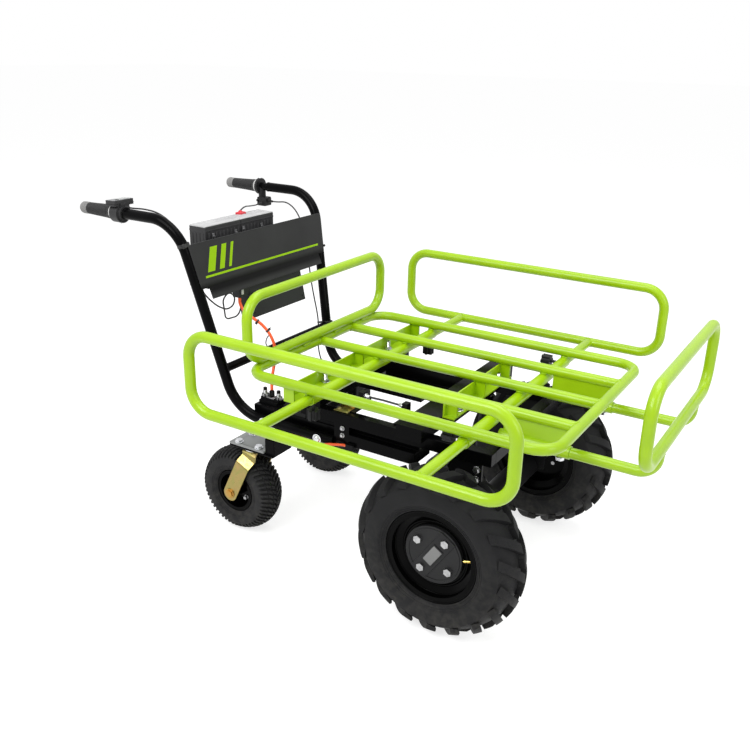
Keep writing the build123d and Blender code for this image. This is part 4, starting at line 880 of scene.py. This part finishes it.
def caster_tyre_shape(centre):
    """The tyre with its tread blocks and the ribs on its side walls."""
    tyre = Shape()
    wall = [(31.5, 52.0), (31.5, 59.0), (35.6, 62.0), (40.6, 71.0), (42.4, 82.0), (41.6, 94.0)]
    crown = [(y, tread_radius(y, tread_depth)) for y in (39.4, 32.0, 22.0, 11.0, 0.0)]
    half = smooth_line(wall + crown)
    outline = half + [(-y, r) for y, r in reversed(half[:-1])]
    inner = [(30.0, 98.0), (33.0, 82.0), (23.5, 54.0)]
    inside = [(-y, r) for y, r in reversed(inner)] + [(0.0, 106.0)] + inner
    tyre.turned(centre, leftward, outline + inside, 96, joined=True)
    wall_rows = ((38.0, 65.0), (40.6, 70.5), (41.8, 75.0))
    tyre.rings(centre, leftward, [(*row, 0.9, 0.9, 6) for row in wall_rows], 72)
    step = 2 * pi / tread_count
    # Inner and outer edge of each row of blocks, then its turn, length and slant as shares of a step
    block_rows = ((1.6, 11.0, 0.0, 0.56, 0.5), (13.4, 24.0, 0.5, 0.54, 0.45), (26.6, 41.2, 0.0, 0.5, 0.3))
    for i in range(tread_count):
        for face in (-1, 1):
            late = 0.5 * step if face > 0 else 0.0
            for low, high, turn, arc, skew in block_rows:
                angle = i * step + late + step * turn
                tread_block(tyre, centre, face * low, face * high, angle, step * arc, step * skew)
    return tyre


def fork_shape(middle_y):
    """A fork folded from one strip: a crown, shoulders that slope out, and two long legs that trail."""
    fork = Shape()
    up_leg = Vector((0.434, 0, 0.901))
    across_leg = Vector((0.901, 0, -0.434))
    axle = Vector((caster_x, middle_y, caster_z))
    crown = Vector((swivel_x, middle_y, fork_crown_z))
    side_run = []
    for i in range(9):
        t = pi / 2 * i / 8
        half = max(fork_half_wide * sin(t), 2.0)
        side_run.append((fork_out, axle - up_leg * fork_half_wide * cos(t), across_leg * half))
    leg = [(fork_out, along) for along in (35.0, 70.0, 103.0)]
    shoulder = [(49.1, 105.4), (34.4, 122.8), (33.1, 125.2)]
    for out, along in leg + shoulder:
        side_run.append((out, axle + up_leg * along, across_leg * fork_half_wide))
    side_run.append((30.6, crown + Vector((0.6, 0, -6.6)), Vector((21.4, 0, -5.0))))
    side_run.append((25.4, crown + Vector((0, 0, -1.0)), Vector((22.0, 0, -0.6))))
    side_run.append((17.0, crown, Vector((22.0, 0, 0))))
    strip = [(spot - Vector((0, out, 0)), wide) for out, spot, wide in side_run]
    strip += [(spot + Vector((0, out, 0)), wide) for out, spot, wide in reversed(side_run)]
    rows = []
    for i, (spot, wide) in enumerate(strip):
        run = strip[min(i + 1, len(strip) - 1)][0] - strip[max(i - 1, 0)][0]
        skin = wide.cross(run).normalized() * fork_half_thick
        rows.append([spot - wide + skin, spot + wide + skin, spot + wide - skin, spot - wide - skin])
    fork.skin(rows)
    return fork


def axle_nuts_shape(side, way):
    """A washer and a nut over each end of a caster's axle."""
    nuts = Shape()
    for face, end in zip((-1, 1), room(f"{side}_caster_axle")[1]):
        spot = Vector((caster_x, way * caster_y + face * (fork_out + 2.4), caster_z))
        washer(nuts, spot, (0, face, 0), 14.0, 2.4, steps=36)
        high = max(abs(end - spot.y) - 2.0, 4.0)
        nuts.hexagon(spot + Vector((0, face * 2.2, 0)), (0, face, 0), 20.0, high)
    return nuts


def rim_bolts_shape(centre):
    """The four bolts that hold a caster's rim together, on both its faces."""
    bolts = Shape()
    for face in (-1, 1):
        for i in range(4):
            t = radians(-55.0) + i * pi / 2
            offset = Vector((rim_bolt_circle * cos(t), face * rim_bolt_y, rim_bolt_circle * sin(t)))
            screw(bolts, centre + offset, (0, face, 0), rim_bolt_collar, 1.4, 10.0, 6.0, 20)
    return bolts


for side, way in sides.items():
    wheel, fork_body = f"{side}_caster_wheel", f"{side}_caster_fork"
    centre = Vector((caster_x, way * caster_y, caster_z))
    tread = caster_tyre_shape(centre)
    tyre = place_piece(f"{side}_caster_tread", tread, caster_rubber, wheel, 32)
    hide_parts(f"{side}_caster_tyre")
    folded = fork_shape(way * caster_y)
    fork = place_piece(f"{side}_folded_fork", folded, gold_zinc, fork_body, 12)
    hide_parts(f"{side}_caster_fork")
    fork_edge = fork.modifiers.new("broken_edges", "BEVEL")
    fork_edge.width = 0.0008
    fork_edge.segments = 2
    fork_edge.angle_limit = radians(50)
    race = Shape()
    race.turned((swivel_x, way * caster_y, race_z), upward, race_outline, 48)
    place_piece(f"{side}_swivel_race", race, bright_zinc, fork_body)
    place_piece(f"{side}_axle_nuts", axle_nuts_shape(side, way), copper_zinc, fork_body)
    place_piece(f"{side}_caster_rim_bolts", rim_bolts_shape(centre), bare_steel, wheel)
    rim_lips = Shape()
    rim_lips.rings(centre, leftward, [(34.0, 57.6, 1.6, 1.8, 8)], 64)
    place_piece(f"{side}_caster_rim_lips", rim_lips, rim_black, wheel, 60)


# Grips, rings on the bars and the display

grip_end_long = 26.0
sleeve_rings = 22
bar_bore = 11.2
white_outline = [(0, bar_bore), (0, 17.8), (0.8, 18.4), (8.4, 18.8), (9.2, 18.0), (9.2, bar_bore)]
flange_outline = [(0, bar_bore), (0, 17.4), (1.0, 18.0), (8.0, 18.2), (9.0, 17.6), (9.0, bar_bore)]
# Where each ring starts along the bar, its outline, slot and finish
bar_rings = {
    "grip_ring": (-973.2, white_outline, "black_plastic", white_plastic),
    "grip_flange": (-982.4, flange_outline, "grip_rubber", grip_rubber),
}
end_outline = [
    (0.0, 0.0), (0.0, 7.6), (0.6, 11.0), (2.2, 13.4), (4.6, 14.8), (8.0, 15.2), (22.0, 15.2), (24.6, 15.0),
    (26.4, 14.2), (26.4, 11.3),
]


def sleeve_shape(start, long):
    """A rubber sleeve with fine rings that thickens towards its flange."""
    sleeve = Shape()
    outline = [(grip_end_long, 12.0), (grip_end_long, 14.6)]
    ringed = long - 31.0
    step = ringed / sleeve_rings
    for i in range(sleeve_rings):
        along = grip_end_long + 1.0 + step * i
        palm = 15.0 + 2.4 * i / sleeve_rings
        for share, drop in ((0.0, 0.5), (0.25, 0.0), (0.65, 0.0), (0.85, 0.5)):
            outline.append((along + step * share, palm - drop))
    outline += [(long - 3.4, 17.9), (long - 0.6, 17.9), (long, 17.3), (long, 11.3)]
    sleeve.turned(start, forward, outline, 40)
    return sleeve


def grip_end_shape(start):
    """The grip's rounded end, with low ribs along it."""
    end = Shape()
    end.turned(start, forward, end_outline, 40)
    rib_radius, rib_count = 14.6, 16
    for i in range(rib_count):
        t = 2 * pi * i / rib_count
        spot = start + Vector((14.0, rib_radius * cos(t), rib_radius * sin(t)))
        end.strip([spot + Vector((s, 0, 0)) for s in (-7.5, -6.0, 6.0, 7.5)], [0.3, 1.0, 1.0, 0.3], 6)
    return end


for side, way in sides.items():
    node, body = ("twist_grip", "twist_grip") if way < 0 else ("left_grip", "chassis")
    (x0, x1), _, _ = room("twist_grip")
    start = on_bar(x0, way)
    sleeve = sleeve_shape(start, x1 - x0)
    grip = place_piece(f"{side}_ringed_grip", sleeve, grip_rubber, body, 30)
    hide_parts(node)
    place_piece(f"{side}_grip_end", grip_end_shape(start), grip_end_rubber, body, 40)
    for name, (x, outline, slot, finish) in bar_rings.items():
        ring = Shape()
        ring.turned(on_bar(x, way), forward, outline, 40)
        place_piece(f"{side}_{name}", ring, finish)

display_tilt = radians(2.0)
display_way = Vector((cos(display_tilt), 0, sin(display_tilt)))
display_up = Vector((-sin(display_tilt), 0, cos(display_tilt)))
display_middle = Vector((-954.0, -275.5, 875.0))
display_turn = turn_to(display_way, display_up)
# Place on the display's top, size, rounding, its steps and the finish
display_pieces = {
    "display_bezel": ((0.0, 0.0, -0.1), (31.0, 58.0, 1.4), 0.6, 2, display_top_grey),
    "display_seam": ((0.0, 0.0, -9.0), (35.0, 63.0, 1.2), 0.5, 2, black_plastic),
    "display_screen": ((-3.0, 10.0, 0.5), (20.0, 32.0, 1.0), 0.4, 3, screen_glass),
}
for name, (offset, size, edge, steps, finish) in display_pieces.items():
    plate = Shape()
    plate.rounded_box(display_middle + display_turn @ Vector(offset), size, edge, display_turn, steps)
    place_piece(name, plate, finish)

clamp_head = [(-1.5, 3.4), (1.2, 3.4), (2.4, 2.6), (2.4, 1.2), (1.2, 1.0), (1.2, 0.0)]
clamp_screws = Shape()
clamp_screws.turned((-950.0, -281.0, 817.9), (0, 0, -1), clamp_head, 20)
clamp_screws.turned((-959.0, 281.0, 866.1), upward, clamp_head, 20)
place_piece("clamp_screws", clamp_screws, bright_zinc)


# Panel, batteries and controller

panel_up = Vector((-sin(handle_lean), 0, cos(handle_lean)))
panel_out = Vector((cos(handle_lean), 0, sin(handle_lean)))
panel_foot = Vector((handle_foot.x, 0, handle_foot.z)) + panel_out * (handle_tube + 2.0)
panel_top_half = 272.0
panel_low_half = 257.0
panel_low_z = 674.0


def on_panel(y, z, out):
    """A spot on the panel's front at a height along its tubes, moved out from the sheet."""
    rise = (z - handle_foot.z) / cos(handle_lean)
    spot = panel_foot + panel_up * rise + panel_out * out
    return Vector((spot.x, y, spot.z))


panel_hem = Shape()
hem = [on_panel(panel_top_half * (i / 12 - 1), 783.2, -1.0) for i in range(25)]
panel_hem.strip(hem, [0.6] + [1.5] * 23 + [0.6], 8)
for way in (-1, 1):
    edge = []
    for i in range(13):
        half = panel_low_half + (panel_top_half - panel_low_half) * i / 12
        edge.append(on_panel(way * half, panel_low_z + 109.0 * i / 12, -1.0))
    panel_hem.strip(edge, [1.2] * 13, 8)
place_piece("panel_hem", panel_hem, charcoal_panel, sharp=60)

(bx0, bx1), (by0, by1), (_, bz1) = room("batteries")
battery_long = (by1 - by0 - 2.0) / 2
battery_wide = bx1 - bx0
battery_x = (bx0 + bx1) / 2
battery_rib_z = bz1 - 60.0
vent_x = battery_x - 6.0
vent_cap = [(0, 6.2), (1.0, 6.2), (1.5, 5.6), (1.5, 2.0), (0.8, 1.6), (0.8, 0.0)]
lids, cases, vents, posts = Shape(), Shape(), Shape(), Shape()
for first in (by0, by1 - battery_long):
    middle = first + battery_long / 2
    lid_size = (battery_wide - 1.0, battery_long - 1.0, 9.0)
    lids.rounded_box((battery_x, middle, bz1 - 3.0), lid_size, 2.4, None, 3)
    cases.rounded_box((battery_x, middle, bz1 - 12.0), (battery_wide + 1.6, battery_long + 0.6, 4.0), 1.4)
    for i in range(9):
        y = first + 12.0 + i * (battery_long - 24.0) / 8
        for x in (bx1 + 0.2, bx0 - 0.2):
            cases.rounded_box((x, y, battery_rib_z), (2.4, 5.0, 84.0), 1.0)
    for i in range(4):
        x = bx0 + 10.0 + i * (battery_wide - 20.0) / 3
        for y in (first - 0.1, first + battery_long + 0.1):
            cases.rounded_box((x, y, battery_rib_z), (6.0, 1.6, 84.0), 0.7)
    vents.rounded_box((vent_x, middle, bz1 + 1.4), (26.0, battery_long - 40.0, 2.0), 0.9)
    for i in range(6):
        y = middle + (i - 2.5) * (battery_long - 56.0) / 5.6
        vents.turned((vent_x, y, bz1 + 1.8), upward, vent_cap, 24)
place_piece("battery_lids", lids, battery_lid_grey)
place_piece("battery_ribs", cases, battery_black)
place_piece("battery_vents", vents, battery_lid_grey)
post_spots = ((-141.0, 779.0), (-54.5, 775.0), (-24.0, 779.0), (52.0, 776.0))
post_bolt = [(0, 4.4), (1.0, 4.4), (1.4, 3.8), (3.2, 3.6), (3.6, 3.0), (3.6, 0.0)]
for y, z in post_spots:
    posts.rounded_box((bx1 + 1.6, y, z + 4.0), (2.4, 9.0, 15.0), 0.8)
    posts.turned((bx1 + 2.4, y, z + 3.0), forward, post_bolt, 20)
place_piece("battery_posts", posts, dull_lead)

red_cap_y = 14.0
red_cap = Shape()
red_cap.rounded_box((-809.0, red_cap_y, bz1 + 4.4), (18.0, 26.0, 8.0), 2.6, None, 3)
red_cap.turned((-810.0, red_cap_y, bz1 + 8.0), upward, [(0, 6.0), (1.6, 5.8), (4, 3.6), (4.6, 2.4)], 24)
place_piece("battery_red_cap", red_cap, red_plastic)

controller_front = -3.0
controller_head = [(-1, 3.6), (1.0, 3.6), (1.8, 2.6), (1.8, 1.2), (0.8, 1.0), (0.8, 0.0)]
controller_screws = Shape()
for y in (-80.0, 128.0):
    for z in (576.0, 628.0):
        controller_screws.turned(on_panel(y, z, controller_front), panel_out, controller_head, 18)
place_piece("controller_screws", controller_screws, controller_shell)

plug = Shape()
plug.rounded_box((-700.4, -116.0, 640.0), (3.6, 8.0, 13.0), 0.8)
place_piece("lead_plug", plug, white_plastic)


# Straps, boots and ferrules


def strap(shape, first, first_radius, second, second_radius, run, wide=5.0, thick=1.3):
    """A flat tie pulled round two round things whose axes run the same way."""
    run = Vector(run).normalized()
    first, second = Vector(first), Vector(second)
    second = second - run * (second - first).dot(run)
    gap = second - first
    across = gap.normalized() if gap.length > 0.01 else run.orthogonal().normalized()
    up = run.cross(across)
    lean = 0.0 if gap.length < 0.01 else max(-0.9, min(0.9, (first_radius - second_radius) / gap.length))
    open_turn = pi / 2 - lean * 0.9
    loop = []
    for i in range(25):
        t = open_turn + (2 * pi - 2 * open_turn) * i / 24
        loop.append((first, t, first_radius))
    for i in range(13):
        t = -open_turn + 2 * open_turn * i / 12
        loop.append((second, t, second_radius))
    rows = []
    half = run * wide / 2
    for middle, t, radius in loop:
        way = across * cos(t) + up * sin(t)
        inner, outer = middle + way * radius, middle + way * (radius + thick)
        rows.append([inner - half, outer - half, outer + half, inner + half])
    shape.skin(rows, joined=True)
    head = first - across * (first_radius + thick + 1.0)
    shape.rounded_box(head, (5.0, 6.0, wide + 2.0), 0.8, turn_to(across, run))
    tail = [head + up * s - across * 0.02 * s * s for s in (2.0, 6.0, 10.0, 14.0)]
    shape.strip(tail, [1.4, 1.3, 1.2, 0.9], 6)


lead_radius = 2.0
tie_lead = 2.4
motor_lead_radius = 4.2
right_tie_lead = (-763.4, -256.1, 785.0)
left_tie_leads = ((-700.0, 221.0, 474.0), (-757.0, 240.0, 692.0))
# Where each tie on the motor's lead sits, and the way that the lead runs there
motor_ties = (
    ((-656.0, -111.2, 567.2), (20.0, 8.0, -13.0)),
    ((-632.0, -100.8, 542.8), (20.0, 9.0, -24.0)),
)
crossbar_tie_y = -62.0
loose_tail = (
    (-669.0, -62.0, 475.0), (-665.0, -65.0, 484.0), (-664.0, -70.5, 493.0), (-664.0, -66.0, 506.0),
    (-664.0, -50.0, 515.0),
)
ties = Shape()
right_spot = handle_tube_at(right_tie_lead[2], -1)
strap(ties, right_spot, handle_tube, right_tie_lead, tie_lead, handle_tube_run(-1), 9.0, 2.2)
for lead in left_tie_leads:
    strap(ties, handle_tube_at(lead[2], 1), handle_tube, lead, tie_lead, handle_tube_run(1))
for spot, run in motor_ties:
    strap(ties, spot, motor_lead_radius, spot, motor_lead_radius, run, 4.4)
bar_spot = handle_tube_at(crossbar_z, -1)
bar_spot.y = crossbar_tie_y
strap(ties, bar_spot, bar_radius, bar_spot, bar_radius, leftward, 4.6)
tail_path = [Vector(p) for p in smooth_line(loose_tail)]
ties.strip(tail_path, [1.5] * len(tail_path), 6)
place_piece("cable_ties", ties, strap_nylon, sharp=45)


def boot(shape, spot, axis, long, radius):
    """A ribbed rubber boot where a lead leaves its housing."""
    ribs = 5
    step = long / ribs
    outline = [(0.0, radius)]
    for i in range(ribs):
        size = radius + (lead_radius + 0.8 - radius) * i / ribs
        for share, drop in ((0.1, 0.0), (0.6, 0.0), (0.75, 0.9)):
            outline.append((step * (i + share), size - drop))
    outline.append((long, lead_radius + 0.2))
    shape.turned(spot, axis, outline, 24)


boots = Shape()
boot(boots, (-930.4, -279.0, 858.0), forward, 16.0, 4.2)
boot(boots, (-928.0, 280.0, 800.0), forward, 18.0, 5.0)
boot(boots, (-945.0, 268.0, 792.0), (0, -1, 0), 16.0, 5.0)
place_piece("lead_boots", boots, strap_nylon)

ferrule_outline = [(0, 5.6), (4, 5.6), (4.6, 5.0), (12, 4.2), (13, 3.4), (13, 2.4)]
ferrules = Shape()
for x, way in ((-293.0, 1), (-185.0, -1)):
    screw(ferrules, (x, -150.0, 455.0), (way, 0, 0), ferrule_outline, 0.0, 13.0, 4.0)
place_piece("cable_ferrules", ferrules, bright_zinc)


# Floor, light and camera


def by_view(wires, lit, shown):
    """Shows one shader to the camera, mirrors and glass, and lights things by the other."""
    rays = wires.add("ShaderNodeLightPath").outputs
    seen = wires.sums("MAXIMUM", rays["Is Camera Ray"], rays["Is Glossy Ray"])
    both = wires.add("ShaderNodeMixShader")
    wires.set(both, 0, wires.sums("MAXIMUM", seen, rays["Is Transmission Ray"]))
    wires.set(both, 1, lit.outputs[0])
    wires.set(both, 2, shown.outputs[0])
    return both.outputs[0]


def pale_floor():
    """A wide pale floor that shows white and keeps a soft shadow."""
    mesh = bpy.data.meshes.new("pale_floor")
    grid = bmesh.new()
    bmesh.ops.create_grid(grid, x_segments=8, y_segments=8, size=40.0)
    grid.to_mesh(mesh)
    grid.free()
    floor = linked("pale_floor", mesh)
    material = bpy.data.materials.new("pale_floor")
    material.use_nodes = True
    wires = Wiring(material.node_tree)
    wires.tree.nodes.clear()
    shade = wires.add("ShaderNodeBsdfDiffuse", None, Color=(0.5, 0.5, 0.5, 1.0))
    glow = wires.add("ShaderNodeEmission", None, Color=(1.0, 1.0, 1.0, 1.0), Strength=0.74)
    shown = wires.add("ShaderNodeAddShader")
    wires.set(shown, 0, shade.outputs[0])
    wires.set(shown, 1, glow.outputs[0])
    plain = wires.add("ShaderNodeBsdfDiffuse", None, Color=(0.82, 0.82, 0.82, 1.0))
    wires.add("ShaderNodeOutputMaterial", None, Surface=by_view(wires, plain, shown))
    mesh.materials.append(material)


def studio_world():
    """White surroundings, with a softer level for the light that they give."""
    world = bpy.data.worlds.new("studio")
    bpy.context.scene.world = world
    world.use_nodes = True
    wires = Wiring(world.node_tree)
    wires.tree.nodes.clear()
    light = wires.add("ShaderNodeBackground", None, Color=(1.0, 1.0, 1.0, 1.0), Strength=0.5)
    white = wires.add("ShaderNodeBackground", None, Color=(1.0, 1.0, 1.0, 1.0), Strength=1.0)
    wires.add("ShaderNodeOutputWorld", None, Surface=by_view(wires, light, white))


def soft_box(name, spot, wide, high, watts):
    """A rectangular lamp that faces the middle of the barrow."""
    lamp = bpy.data.lights.new(name, "AREA")
    lamp.shape = "RECTANGLE"
    lamp.size = wide
    lamp.size_y = high
    lamp.energy = watts
    light = linked(name, lamp)
    light.location = spot
    aim = Vector((0.0, 0.0, 0.4)) - Vector(spot)
    light.rotation_euler = aim.to_track_quat("-Z", "Y").to_euler()


def photo_camera():
    """The camera at the photograph's place and angle, for a square picture."""
    azimuth, elevation, roll = radians(31.68), radians(21.30), radians(1.23)
    back = Vector((cos(elevation) * sin(azimuth), -cos(elevation) * cos(azimuth), sin(elevation)))
    right = Vector((cos(azimuth), sin(azimuth), 0.0))
    up = back.cross(right)
    level = right * cos(roll) + up * sin(roll)
    upright = up * cos(roll) - right * sin(roll)
    lens = bpy.data.cameras.new("photo_camera")
    lens.sensor_width = 36.0
    lens.lens = 40.43
    lens.shift_x = -0.0012
    lens.shift_y = 0.0012
    camera = linked("photo_camera", lens)
    turn = Matrix((level, upright, back)).transposed()
    camera.matrix_world = Matrix.Translation(at(717.5, -1740.5, 1242.3)) @ turn.to_4x4()
    bpy.context.scene.camera = camera


pale_floor()
studio_world()
soft_box("key_box", (-0.4, -2.3, 2.7), 2.4, 1.6, 62.0)
soft_box("top_box", (0.4, 0.6, 3.6), 3.0, 2.0, 60.0)
soft_box("side_box", (3.0, -0.6, 1.8), 1.4, 1.8, 26.0)
soft_box("strip_box", (-0.56, -2.77, 2.31), 0.7, 0.4, 9.0)
photo_camera()
bpy.context.scene.view_settings.view_transform = "Standard"
